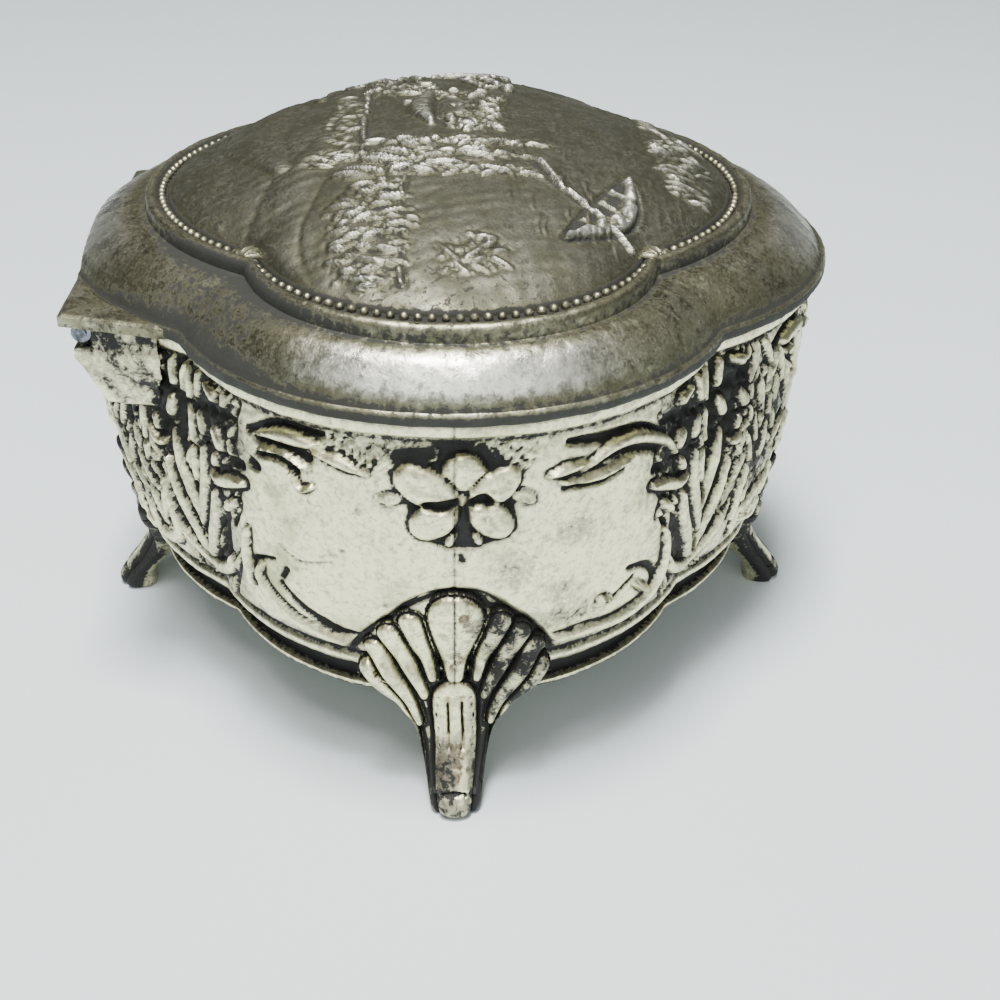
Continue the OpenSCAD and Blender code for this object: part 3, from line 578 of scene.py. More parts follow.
field = {
    "ridges": (
        [(14.0, 41.5, 0.3), (18.0, 43.3, 0.7), (22.0, 43.0, 0.8), (26.0, 41.0, 0.6), (28.0, 39.0, 0.3)],
        [(10.5, 41.7, 0.3), (12.5, 42.1, 0.7), (14.5, 42.3, 0.3)],
        [(12.0, 40.6, 0.3), (16.0, 40.4, 0.6), (20.5, 41.2, 0.3)],
        [(16.6, 22.6, 0.25), (17.3, 23.6, 0.4), (18.4, 23.2, 0.3)], [(22.3, 23.5, 0.4), (24.5, 21.5, 0.5)],
        [(-20.5, 43.6, 0.4), (-16.5, 44.3, 0.9), (-12.6, 44.0, 0.4)],
        [(-20.8, 41.8, 0.3), (-17.2, 42.4, 0.45), (-14.4, 41.3, 0.3)],
        [(-13.5, 43.4, 0.3), (-10.6, 43.0, 0.75), (-7.8, 42.2, 0.3)],
        [(-16.6, 40.2, 0.3), (-15.4, 38.8, 0.4), (-14.0, 39.4, 0.2)],
        [(-24.6, 22.6, 0.5), (-24.8, 27.0, 0.7), (-24.2, 30.5, 0.4)],
    ),
    "scrolls": (
        [(9.4, 19.4, 0.4), (15.0, 19.4, 0.75), (20.0, 19.3, 0.85), (24.0, 20.0, 0.9), (26.7, 21.8, 0.9),
         (27.6, 24.8, 0.8), (27.5, 27.5, 0.6), (27.0, 29.3, 0.35)],
        [(-8.6, 18.9, 0.4), (-13.0, 19.1, 0.75), (-18.0, 20.1, 0.85), (-21.4, 22.1, 0.8),
         (-22.9, 24.6, 0.6), (-22.4, 26.4, 0.35)],
    ),
    "pits": (
        [(12.6, 44.9, 0.3), (17.0, 44.4, 0.65), (22.0, 43.9, 0.6), (25.0, 42.4, 0.4)],
        [(15.5, 41.7, 0.3), (19.0, 42.3, 0.55), (23.0, 41.4, 0.65), (25.0, 40.4, 0.4)],
        [(12.0, 39.8, 0.12), (16.0, 39.4, 0.2), (19.4, 40.0, 0.15)],
        [(21.0, 26.3, 0.3), (24.2, 25.2, 0.65), (25.6, 23.4, 0.55), (25.3, 21.2, 0.3)],
        [(18.5, 22.3, 0.3), (20.3, 23.6, 0.4), (22.0, 24.6, 0.3)],
        [(-22.6, 43.2, 0.5), (-18.0, 45.1, 0.65), (-12.6, 45.4, 0.3)],
        [(-21.6, 42.5, 0.4), (-17.0, 43.3, 0.4), (-14.4, 42.5, 0.5)],
        [(-21.4, 40.9, 0.4), (-18.4, 41.4, 0.45), (-15.9, 40.5, 0.3)],
        [(-9.0, 20.2, 0.25), (-13.0, 20.6, 0.55), (-17.0, 22.2, 0.6), (-19.8, 24.6, 0.4)],
        [(-19.6, 25.4, 0.4), (-18.7, 27.0, 0.45)],
        [(-24.0, 25.0, 0.2), (-23.4, 26.7, 0.25), (-20.3, 27.9, 0.15)],
        [(-22.6, 39.4, 0.7), (-21.6, 39.2, 0.6)],
    ),
    "petals": (
        ([(1.7, 40.3, 1.4), (1.9, 41.4, 2.6), (1.8, 42.5, 2.3)], 0.6),
        ([(0.6, 40.0, 1.1), (-1.8, 40.8, 2.2), (-3.5, 41.8, 1.8)], 0.7),
        ([(3.2, 40.4, 1.0), (4.9, 41.0, 1.8), (6.2, 42.0, 1.4)], 0.7),
        ([(0.4, 38.1, 1.0), (-1.0, 37.4, 2.0), (-2.2, 36.6, 1.8)], 0.6),
        ([(3.0, 38.1, 1.0), (4.3, 37.4, 2.0), (5.2, 36.6, 1.7)], 0.6),
        ([(0.6, 35.4, 0.4), (0.2, 34.6, 0.5)], 0.4), ([(2.8, 35.4, 0.4), (3.2, 34.7, 0.5)], 0.4),
    ),
    "shellEdge": [(-11.2, 16.6, 0.4), (-10.4, 18.9, 0.45), (-8.6, 21.4, 0.45), (-6.4, 23.6, 0.45),
                  (-4.4, 25.8, 0.45), (-2.0, 27.4, 0.45), (0.4, 28.0, 0.5), (2.6, 27.5, 0.7),
                  (4.6, 26.1, 1.0), (6.6, 24.1, 1.0), (8.8, 21.8, 0.7), (10.6, 19.0, 0.5), (11.4, 16.6, 0.4)],
}


# The relief of a lobe. A broad lobe has more leafwork between its corners and its flower.
def wallRelief(broad):
    relief = newRelief(-40, 40, 16.5, 48)
    scratches(relief, 330, (-11, 9), (43.0, 46.2), 1.7, 0.5, 4, dig=0.4)
    scratches(relief, 110, (-36, 36), (44.4, 46.2), 1.3, 0.22, 5)
    rng = np.random.default_rng(6)
    for side in (-1, 1):
        for k in range(46):                     # small leafwork between the large leaves of the corner
            x, y, turn = rng.uniform(24.5, 37.5), rng.uniform(31.5, 45.5), rng.uniform(0.9, 2.4)
            blade(relief, side, x, y, turn, 1.3, (0.15, 0.5, 0.1), 0.6, dig=0.6, ring=0.5)
        for k in range(16):                     # blades lower down
            x, y = rng.uniform(27.5, 37.5), rng.uniform(19, 30)
            path = [(x + 1.6, y - 3, 0.15), (x + 0.3, y, 0.45), (x - 1.4, y + 3, 0.1)]
            stroke(relief, mirrored(path, side), 0.6, dig=0.6, ring=0.5)
        stroke(relief, mirrored(corner["frame"], side), 0.4, dig=0.8, ring=0.7)
        for z, size in corner["leaves"]:
            leaflet(relief, side * 36.4, z - 3.4, side * 36.2, z + 2.8, 1.25 * size,
                    rise=0.9, bend=0.1, dig=0.9, vein=0.5)
        for path in corner["pits"]:
            stroke(relief, mirrored(path, side), -0.85, dig=0.2, ring=0.35)
        for path in corner["ridges"]:
            stroke(relief, mirrored(path, side), 0.95, dig=0.6, ring=0.5, vein=0.15)
    for path in field["pits"]:
        stroke(relief, path, -0.75, dig=0.12, ring=0.3)
    for path in field["ridges"] + field["scrolls"]:
        stroke(relief, path, 0.8, dig=0.35, ring=0.35)
    stroke(relief, [(1.2, 41.0, 5.4), (1.5, 39.4, 5.2)], -0.75, dig=0.4, ring=0.7, roundness=0.06)
    stroke(relief, [(1.5, 38.6, 4.6), (1.5, 38.0, 4.2)], -0.75, dig=0.4, ring=0.7, roundness=0.06)
    stroke(relief, [(3.6, 45.0, 0.9), (4.6, 43.4, 0.9)], -0.75, dig=0.4, ring=0.5)
    stroke(relief, [(-4.6, 44.2, 0.9), (-1.6, 44.6, 1.0)], -0.75, dig=0.4, ring=0.5)
    leaflet(relief, 6.6, 39.8, 9.0, 38.9, 0.75, rise=0.25, dig=0.3)
    leaflet(relief, -4.4, 40.2, -7.0, 39.6, 0.7, rise=0.25, dig=0.3)
    for path, rise in field["petals"]:
        stroke(relief, path, rise, dig=0.5, ring=0.3, roundness=0.3, vein=0.25)
    for path in ([(1.6, 35.4, 0.35), (1.7, 38.0, 0.5), (1.6, 40.4, 0.3)],
                 [(-2.2, 39.0, 0.3), (-0.4, 39.0, 0.6), (1.0, 39.6, 0.3)],
                 [(2.4, 39.3, 0.3), (3.6, 39.8, 0.6), (4.4, 39.2, 0.3)]):
        stroke(relief, path, -0.8, dig=0.2, ring=0.3)
    stroke(relief, [(1.6, 39.3, 0.3), (1.7, 40.2, 0.4)], 0.5, dig=0.4, ring=0.3)
    stroke(relief, [(1.3, 32.9, 0.45), (1.5, 32.3, 0.5)], -0.35, dig=0.1, ring=0.3)
    stroke(relief, field["shellEdge"], -0.7, dig=0.15, ring=0.4)
    for path in ([(-19.5, 30.5, 0.1), (-16.7, 29.1, 0.14), (-12.2, 30.5, 0.1)],
                 [(-13.5, 31.1, 0.1), (-12.0, 31.3, 0.1)]):
        stroke(relief, path, -0.3, dig=0, ring=0.1)
    if broad:
        for side in (-1, 1):
            for k in range(38):
                x, y, turn = rng.uniform(13, 27), rng.uniform(21, 45), rng.uniform(1.0, 2.3)
                blade(relief, side, x, y, turn, 2.6, (0.2, 0.75, 0.15), 0.7, dig=0.5, ring=0.6, vein=0.2)
    relief["height"] = blurred(relief["height"], 1)
    settleTarnishShade(relief)
    x, y = relief["x"], relief["y"]
    flower = np.exp(-(((x - 1.5) / 7) ** 2 + ((y - 39.5) / 5) ** 2) ** 2)
    patchy = np.maximum(0, np.sin(2.3 * x + 2 * np.sin(1.7 * y)) * np.sin(2.1 * y + 1))
    relief["grime"] += 0.4 * flower * patchy
    smear(relief, body["darkerSpots"] + (body["broadDarkerSpots"] if broad else []))
    return relief


body = {
    "step": 0.27, "cuspAcross": 36.4, "shift": 0.3, "lean": 0.5, "midZ": 30.0, "skirting": 1.4,
    "reliefFrom": 17.2, "reliefTo": 46.4, "innerDrops": (0, 4, 8, 13, 17, 21, 25, 30),
    "lowerMoulding": [(-0.4, -6.1), (0.15, -6.05), (0.55, -7.0), (1.7, -7.4), (2.6, -7.0), (3.1, -5.5),
                      (4.0, -4.6), (4.6, -4.45), (5.2, -4.85), (5.6, -4.75)],
    "bellyLevels": (6.2, 9.5, 14, 19.5, 25.5, 31.5),
    "upperMoulding": [(-2.2, -0.55), (-1.6, 0.25), (-0.6, 0.45), (0, 0.2)],
    # black tarnish and painted shade by height, under the lip, in the cove and under the upper moulding:
    # height, depth
    "mouldingTarnishShade": [(11.3, 0.9), (11.75, 0.0), (12.15, 0.9), (13.4, 1.2), (14.5, 1.0), (15.2, 0.5),
                      (15.9, 0.05), (16.6, 0.5), (17.2, 1.1), (18.0, 0.4), (19.0, 0.1), (45.4, 0.15),
                      (46.2, 0.8), (46.8, 0.05), (48.5, 0.3)],
    # cuts in the back wall's top for the lid's swing, the hinge's barrel and its leaves: how far back
    # each one starts, its half-width and its level
    "swing": (39.3, 30, 44.4), "trough": (39.1, 30, 46.0), "recess": (35.0, 24.2, 47.5),
    # darker patches on a lobe: across, height, reach both ways, depth
    "darkerSpots": [(-1, 45, 10, 1.6, 0.62), (-6.2, 39.8, 1.6, 0.9, 0.4), (8, 39.2, 1.6, 0.9, 0.4),
             (14, 34.5, 3.6, 2.4, 0.42), (6.5, 30.5, 3, 3, 0.4), (12, 26.5, 3, 2, 0.42),
             (13, 22.6, 6, 2.6, 0.5), (-11, 32.3, 0.5, 0.4, 0.5), (-17.3, 27.7, 0.5, 0.5, 0.5),
             (-13.3, 26, 0.5, 0.4, 0.5), (-6.7, 25.6, 0.5, 0.4, 0.5), (-9, 37.6, 0.7, 0.5, 0.5),
             (32, 40, 8.5, 9, 1.1), (-32, 40, 8.5, 9, 1.1), (35, 26, 8, 11, 1.1), (-35, 26, 8, 11, 1.1),
             (1.6, 39.4, 6, 5, 0.4), (20, 42, 6, 2, 0.4), (-17, 42, 6, 2, 0.4)],
    "broadDarkerSpots": [(21, 33, 9, 13, 0.8), (-21, 33, 9, 13, 0.8)],
    # bare metal: a place on the casting, its reach and its depth
    "stains": [(-44, 17, 13.2, 3.2, 0.7), (-45, -13, 23, 4.0, 0.3), (-40, -34, 33, 3.0, 0.5),
               (-47, 14, 43.5, 3.0, 0.5), (-47.6, -1.2, 37, 2.0, 0.4)],
}


# Depth of the deepest stain at each point
def stainAt(points, stains):
    total = np.zeros(points.shape[:-1])
    for x, y, z, size, amount in stains:
        far = np.linalg.norm(points - np.array([x, y, z]), axis=-1)
        total = np.maximum(total, amount * np.exp(-((far / size) ** 2)))
    return total


# The rows of the wall: height and set-out of the outside, upwards, then height, set-out and
# thickness of the inside, downwards
def wallRows():
    lip, rim, bottom = casting["lipZ"], casting["rimZ"], casting["coveOut"]
    wall, base, skirting = casting["wall"], casting["baseZ"], casting["wall"] + body["skirting"]
    profile = [(lip + h, out) for h, out in body["lowerMoulding"]]
    profile += [(lip + h, float(belly(lip + h))) for h in body["bellyLevels"]]
    profile += [(rim + h, out) for h, out in body["upperMoulding"]]
    inner = [(rim - h, float(belly(rim - h)), wall) for h in body["innerDrops"]]
    inner += [(lip + 1.7, bottom, wall), (base, bottom, wall), (base, bottom, skirting),
              (lip - 0.4, bottom, skirting)]
    return evenPath(profile, body["step"]), np.array(inner)


# How far each point of the wall is from the middle of its lobe, and which columns are on the side lobe
def lobeAcross(outside, places):
    count = len(places)
    run = np.linalg.norm(np.diff(outside, axis=1, prepend=outside[:, :1]), axis=-1).cumsum(1)
    first = int(np.argmin(abs(places[:count // 2] - 1.5)))
    second = count - 1 - first
    middle, total, toCusp = run[:, count // 2][:, None], run[:, -1:], run[:, [first]]
    columns = np.arange(count)[None, :]
    onSide = (columns >= first) & (columns < second)
    signed = np.where(columns < first, run, np.where(onSide, run - middle, run - total))
    atCusp = np.where(onSide, middle - toCusp, toCusp)
    signed *= mix(1, body["cuspAcross"] / atCusp, ease((np.abs(signed) - 22) / 12))
    return signed, onSide


def midWall(place):
    return bodyPoint(place, body["midZ"], belly(body["midZ"]), 0)


def makeBodyHalf(name, side, endWall, sideWall):
    outer, inner = wallRows()
    places, _ = evenPlaces(body["step"], midWall)
    flip = np.concatenate([np.ones(len(places)), -np.ones(len(places) - 1)])
    places = np.concatenate([places, places[-2::-1]])

    def grid(levels, out, inset):
        x, y = bodyPoint(places[None, :], levels[:, None], out[:, None], inset)
        return np.stack([x * flip, y, np.broadcast_to(levels[:, None], x.shape)], -1)

    outside = grid(outer[:, 0], outer[:, 1], 0)
    level = outside[..., 2]
    signed, onSide = lobeAcross(outside, places)
    shift = 0.1 * wobble(outside, 9, 3 if side > 0 else 8)
    lean = body["lean"] * (level - casting["lipZ"]) / 27
    acrossMap, levelMap = side * signed + body["shift"] + lean + shift, level + shift
    fade = ease((level - body["reliefFrom"]) / 0.8) * ease((body["reliefTo"] - level) / 0.8)
    height, grime, brush = (fade * np.where(onSide, readRelief(sideWall, acrossMap, levelMap, key),
                                            readRelief(endWall, acrossMap, levelMap, key))
                            for key in ("height", "grime", "brush"))
    grime = np.maximum(grime, np.interp(level, *np.array(body["mouldingTarnishShade"]).T))
    height += 0.06 * wobble(outside, 5, 11) + 0.03 * wobble(outside, 1.6, 12)
    fromEnds = np.minimum(np.arange(len(places)), np.arange(len(places))[::-1]) * body["step"]
    seam = np.exp(-((fromEnds / 0.25) ** 2))             # the joint between the two castings
    height -= 0.12 * seam
    grime = np.maximum(grime, 0.55 * seam)
    outside = outside + gridNormals(outside) * height[..., None]
    inside = grid(inner[:, 0], inner[:, 1], inner[:, 2:3])
    points = np.concatenate([outside, inside])
    grime = np.concatenate([grime, np.full(inside.shape[:2], 0.25)])
    brush = np.concatenate([brush, np.zeros(inside.shape[:2])])
    if side > 0:
        for behind, half, top in (body["swing"], body["trough"], body["recess"]):
            cut = (points[..., 1] > behind) & (abs(points[..., 0]) < half)
            points[..., 2] = np.where(cut, np.minimum(points[..., 2], top), points[..., 2])
    points[..., 1] *= side
    rows, columns = points.shape[:2]
    faces = gridFaces(rows, columns, loopRows=True)
    start = [list(range(0, rows * columns, columns))]
    end = [list(range(columns - 1, rows * columns, columns))[::-1]]
    if side < 0:
        faces, start, end = faces[:, ::-1], [start[0][::-1]], [end[0][::-1]]
    attributes = {"grime": grime, "bare": stainAt(points, body["stains"]), "brush": brush}
    piece = makeMesh(name, points, faces.tolist() + start + end, attributes, bodySilver)
    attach(piece, "body")
    return piece


walls = wallRelief(False), wallRelief(True)
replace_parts(makeBodyHalf("body_front_casting", -1, *walls), "body_front_half")
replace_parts(makeBodyHalf("body_back_casting", 1, *walls), "body_back_half")
print("body castings ready")

# Feet: a ribbed shell on the wall that runs down into a leg with a fluted tongue

foot = {
    "step": 0.18, "top": 28.4, "halo": 0.35,
    # each rib from its rounded tip down into the leg: across, height, half-width
    "ribs": (
        [(9.4, 16.5, 1.15), (7.6, 13.4, 1.05), (5.7, 10.2, 0.85), (4.4, 7.2, 0.55), (3.6, 3.6, 0.3)],
        [(8.7, 19.3, 1.2), (7.1, 16.4, 1.05), (5.4, 13.4, 0.85), (4.0, 9.6, 0.5)],
        [(7.0, 21.8, 1.2), (5.7, 19.1, 1.05), (4.4, 16.5, 0.8), (3.2, 13.4, 0.5)],
        [(4.8, 23.9, 1.2), (3.9, 21.2, 1.0), (3.0, 18.6, 0.75), (2.4, 16.2, 0.5)],
        [(0, 24.7, 3.1), (0, 22.0, 2.4), (0, 19.2, 1.6), (0, 16.6, 1.0)],
    ),
    "tongue": [(0, 13.0, 2.4), (0, 11, 2.45), (0, 7, 2.2), (0, 4, 2.1), (0, 1.6, 1.9)],
    "flutes": (0.7, 1.75),
    # bare metal on the near foot and shell: a place on the casting, its reach and its depth
    "stains": [(-47.5, 1.4, 5.4, 3.6, 1.0), (-46.6, -1.7, 24.5, 2.8, 0.8), (-46.2, -0.5, 18.5, 2.2, 0.55)],
    # outline of the leg below the shell: height, half-width
    "outline": [(0, 2.2), (0.3, 2.6), (1.2, 2.95), (3.6, 3.35), (5.8, 3.8), (8.0, 4.4), (9.4, 5.1),
                (10.7, 6.2), (12.0, 7.2), (13.4, 8.8), (15.0, 10.1), (16.4, 11.0), (29, 11.0)],
    # heights in mm: where the leg's front starts to follow the wall and over how much, where its back
    # ends, where the wall goes on behind the shell and where the shell starts
    "joinZ": 15.5, "joinOver": 3.5, "backZ": 11.3, "wallZ": 17.2, "shellZ": 15.8, "backInset": -8.0,
    # set-back of the leg's front and back from the toe
    "front": [(0, 0.55), (0.35, 0.1), (1.0, 0.0), (1.9, 0.35), (3.6, 1.5), (5.8, 3.2), (8.3, 4.6),
              (11, 5.1), (13.6, 4.8), (15.5, 4.5), (17.9, 4.1)],
    "back": [(0, 4.1), (1.8, 4.2), (3.6, 4.9), (5.8, 7.0), (8.3, 8.7), (10.2, 9.2), (11.2, 9.6)],
}


# Half of a foot's relief from its middle out, and the shape that it covers
def footRelief():
    relief, shape = newRelief(0, 14, 0, 29.4), newRelief(0, 14, 0, 29.4)
    halo = foot["halo"]
    for rib in foot["ribs"]:
        wide = [(x, z, w + halo) for x, z, w in rib]
        stroke(shape, wide, 1.0, dig=0, ring=0.05, roundness=0.02, join=True)
        stroke(relief, wide, 0.35, dig=0.25, ring=0.5, roundness=0.3, join=True)
    for rib in foot["ribs"]:
        middle = rib[0][0] == 0
        stroke(relief, rib, 1.15 if middle else 0.95, dig=0.5, ring=0.34, roundness=0.35)
    stroke(relief, foot["tongue"], 0.85, dig=0.6, ring=0.6, roundness=0.5)
    for x in foot["flutes"]:
        stroke(relief, [(x, 13.2, 0.06), (1.1 * x, 10.6, 0.08), (x, 7.2, 0.05)], 0.45, dig=-0.5, ring=0.35)
    stroke(relief, [(0, 3.0, 0.1), (1.2, 2.8, 0.1), (2.4, 2.6, 0.1)], 0.35, dig=-0.4, ring=0.3)
    settleTarnishShade(relief, deep=1.1, narrow=2.3, wide=1.9)
    relief["grime"] += 0.1
    relief["shape"] = shape["height"]
    return relief


def makeFoot(name, relief, end, side):
    heights = np.linspace(0, foot["top"], int(foot["top"] / foot["step"]) + 1)
    heights = np.concatenate([[0, 0.12], heights[1:]])
    half = np.interp(heights, *evenPath(foot["outline"], 0.2).T)
    toe = casting["toeEnd"] if end else casting["toeSide"]
    rim = casting["rimEnd"] if end else casting["rimSide"]
    centre = endCentre(heights) if end else sideCentre(heights)
    wallFront = rim + belly(heights)
    leg = toe - np.interp(heights, *evenPath(foot["front"], 0.3).T)
    front = mix(leg, wallFront + 0.3, ease((heights - foot["joinZ"]) / foot["joinOver"]))
    back = np.where(heights < foot["backZ"], toe - np.interp(heights, *evenPath(foot["back"], 0.3).T),
                    rim + np.where(heights > foot["wallZ"], belly(heights) - 0.7, foot["backInset"]))
    u = np.linspace(-1, 1, 149)
    across = half[:, None] * u
    level = np.broadcast_to(heights[:, None], across.shape)
    bent = np.stack([across, level, np.full(across.shape, 40.0 * side + 9 * end)], -1)
    shifted = np.abs(across + 0.18 * wobble(bent, 7, 21))
    level = level + 0.15 * wobble(bent, 6, 22)
    height, grime, shape = (readRelief(relief, shifted, level, key) for key in ("height", "grime", "shape"))
    right = -across if side * (1 if end else -1) > 0 else across
    # Painted highlight low on the leg's right, painted shade down the right side of shell and leg, darker
    # towards the toe, and every foot but the near end one darker still
    legHighlight = np.exp(-(((right - 0.9) / 0.75) ** 2 + ((level - 4.2) / 2.4) ** 2))
    grime += 0.6 * ease(right / 4.5) * (0.7 + 0.5 * wobble(bent, 3, 23))
    grime += 0.45 * ease((9.5 - level) / 5) - 0.8 * legHighlight
    grime += 0.08 if end and side < 0 else 0.25
    covered = np.maximum(shape, ease((foot["shellZ"] - heights) / 0.6)[:, None])
    covered = ease((covered - 0.35) / 0.3)
    low = ease((15.0 - heights) / 4)[:, None]
    rounding = 1.5 * low * (1 - np.sqrt(np.maximum(1 - np.abs(u) ** 3.5, 0)))
    deep = front[:, None] - rounding + height * mix(1, ease((1 - np.abs(u)) / 0.08), low)
    if end:                                     # the casting's joint runs down the shell
        onShell = ease((heights - 14.6) / 0.6)[:, None]
        deep -= 0.16 * np.exp(-((across / 0.16) ** 2)) * onShell
        grime = np.maximum(grime, 0.7 * np.exp(-((across / 0.2) ** 2)) * onShell)
    deep = mix(back[:, None], deep, covered)
    v = np.linspace(1, -1, 15)
    behind = (half[:, None] - 0.25 * low) * v
    hollow = back[:, None] + 0.9 * low * (v * v) ** 2
    across = np.concatenate([across, behind], 1)
    deep = np.concatenate([deep, hollow], 1)
    grime = np.concatenate([grime, 0.35 + 0 * behind], 1)
    radius = np.maximum(deep - centre[:, None], 1)
    angle = across / (front - centre)[:, None]
    outward = centre[:, None] + radius * np.cos(angle)
    sideways = radius * np.sin(angle)
    level = np.broadcast_to(heights[:, None], outward.shape)
    points = np.stack([outward, sideways, level] if end else [-sideways, outward, level], -1)
    points = points * np.array([side if end else 1, 1 if end else side, 1])
    if side < 0:
        points[..., 1 if end else 0] *= -1
    rows, columns = points.shape[:2]
    faces = gridFaces(rows, columns, loopColumns=True).tolist()
    faces += [list(range(columns))[::-1], list(range((rows - 1) * columns, rows * columns))]
    bare = stainAt(points, body["stains"] + foot["stains"])
    piece = makeMesh(name, points, faces, {"grime": grime, "bare": bare}, bodySilver)
    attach(piece, "body")


shell = footRelief()
for name, end, side in (("foot_left", True, -1), ("foot_right", True, 1),
                        ("foot_front", False, -1), ("foot_back", False, 1)):
    makeFoot(name, shell, end, side)
print("feet ready")


# Lid: rim, skirt and the moulding round the panel. The profile is measured inwards
# from the rim on the end lobe: distance, height.

lid = {
    "step": 0.3,
    "profile": [(0.4, 48.6), (0.08, 48.72), (0, 49.0), (0, 49.6), (0.12, 49.95), (0.4, 50.08),
                (0.58, 49.98), (0.7, 50.3), (0.95, 51.1), (1.3, 51.9), (1.95, 53.1), (2.75, 54.15),
                (3.6, 54.8), (4.4, 55.1), (4.75, 55.15), (4.8, 55.6), (4.85, 56.35), (5.1, 56.85),
                (5.6, 57.05), (6.15, 56.85), (6.4, 56.45), (6.7, 56.3)],
    # floor of the channel: inset from the bead line, height
    "channel": [(-0.5, 56.25), (0.95, 56.3)],
    # inset from the rim, inset from the panel, share of the way between them, height
    "under": [(1.5, 3.3, 1.0, 55.2), (1.5, 1.5, 0.9, 53.7), (1.5, 1.5, 0.45, 52.1), (3.3, 1.5, 0, 49.5),
              (3.1, 1.5, 0, 48.6)],
    # black tarnish and painted shade round the skirt, most on the rim's edge, the moulding's outer wall and
    # in the channel: distance in from the rim, depth
    "skirtTarnishShade": [(0, 0.2), (0.3, 0.0), (0.58, 0.85), (0.85, 0.35), (1.4, 0.05), (3.4, 0.1), (4.2, 0.3),
                   (4.7, 0.7), (4.85, 0.45), (5.15, 0.15), (5.45, 0.0), (5.75, 0.1), (6.05, 0.7),
                   (6.5, 1.1), (12, 1.1)],
    # a place on the skirt, its reach and its depth: darker patches, lighter patches and bare metal
    "darkerSpots": [(-34, 26, 54, 17, 0.3)], "lighterSpots": [(-36, -26, 53, 15, 0.2)],
    "stains": [(-38, 20, 53.5, 5.0, 0.3), (-30, 27, 52.5, 3.5, 0.25)],
    "panelHalfCount": 150, "panelRelief": 0.95,
}
edgeToPanel = casting["lidEnd"] - casting["panelEnd"]


# A row of the skirt, between the rim's outline and the panel's
def lidRow(place, inward):
    rimX, rimY = lidPoint(place, np.minimum(inward, 0.5))
    panelX, panelY = panelPoint(place, np.maximum(inward - edgeToPanel, 0))
    share = np.clip((inward - 0.5) / (edgeToPanel - 0.5), 0, 1)
    return mix(rimX, panelX, share), mix(rimY, panelY, share)


# The columns of a whole ring, anticlockwise from +X: place in the quarter and the signs of x and y
def wholeRing(places, across):
    ring = []
    for k, (signX, signY) in enumerate(((1, 1), (-1, 1), (-1, -1), (1, -1))):
        quarter = list(zip(places, across))[:-1] if k % 2 == 0 else list(zip(places, across))[:0:-1]
        ring += [(p, a, signX, signY) for p, a in quarter]
    return np.array(ring).T


def rimLine(place):
    return lidPoint(place, 0)


def makeLidSkirt():
    outer = evenPath(lid["profile"], lid["step"])
    place, across, signX, signY = wholeRing(*evenPlaces(lid["step"], rimLine))
    rimInset, panelInset, share, under = np.array(lid["under"]).T[:, :, None]
    rimSpot, panelSpot = lidPoint(place[None, :], rimInset), panelPoint(place[None, :], panelInset)
    channelInset, channelLevel = np.array(lid["channel"]).T[:, :, None]
    channelSpot, outerSpot = channelPoint(place[None, :], channelInset), lidRow(place[None, :], outer[:, :1])
    x, y = (np.concatenate([a, d, mix(b, c, share)])
            for a, b, c, d in zip(outerSpot, rimSpot, panelSpot, channelSpot))
    level = np.concatenate([outer[:, 1:], channelLevel, under])
    points = np.stack([x * signX, y * signY, np.broadcast_to(level, x.shape)], -1)
    outside = points[:len(outer)]
    normal = gridNormals(outside, loopColumns=True)
    bumps = 0.05 * wobble(outside, 4, 31) + 0.03 * wobble(outside, 1.5, 32)
    points[:len(outer)] += normal * bumps[..., None]
    grime = np.full(x.shape, 0.9)
    grime[:len(outer)] = np.interp(outer[:, 0], *np.array(lid["skirtTarnishShade"]).T)[:, None]
    # Painted shade on the lower part of the rim
    grime[:len(outer)] = np.maximum(grime[:len(outer)], 0.85 * ease((49.75 - outer[:, 1:]) / 0.25))
    # Painted shade: the skirt darker towards the cusps, away from the middle of each lobe
    grime += 0.22 * ease((across - 16) / 12)
    grime += stainAt(points, lid["darkerSpots"]) - stainAt(points, lid["lighterSpots"])
    # Painted highlight across the middle of each lobe's skirt, with rubbed silver: brighter and smoother
    # there
    rubbedHighlight = np.exp(-((across / 16) ** 4)) * ease((level - 50.6) / 1.2) * ease((55.0 - level) / 0.8)
    points[..., 1] = np.minimum(points[..., 1], casting["backEdge"])
    rows, columns = points.shape[:2]
    faces = gridFaces(rows, columns, loopRows=True, loopColumns=True).tolist()
    attributes = {"grime": grime, "bare": stainAt(points, lid["stains"]), "rubbedHighlight": rubbedHighlight}
    piece = makeMesh("lid_skirt", points, faces, attributes, lidSilver)
    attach(piece, "lid")
    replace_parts(piece, "lid")


# Short strokes scattered over an oval, around one lean
def foliage(relief, x, y, spanX, spanY, count, seed, size=1.6, lean=90, spread=40, rise=0.5):
    rng = np.random.default_rng(seed)
    for k in range(count):
        far, turn = math.sqrt(rng.uniform(0, 1)), rng.uniform(0, 2 * math.pi)
        cx, cy = x + spanX * far * math.cos(turn), y + spanY * far * math.sin(turn)
        angle = math.radians(lean + rng.uniform(-spread, spread))
        length = size * rng.uniform(0.8, 1.9)
        dx, dy = length * math.cos(angle), length * math.sin(angle)
        stroke(relief, [(cx - dx, cy - dy, 0.15), (cx, cy + 0.15, 0.36), (cx + dx, cy + dy, 0.12)],
               rise * rng.uniform(0.5, 1.1), dig=0.25, ring=0.4, roundness=0.8)


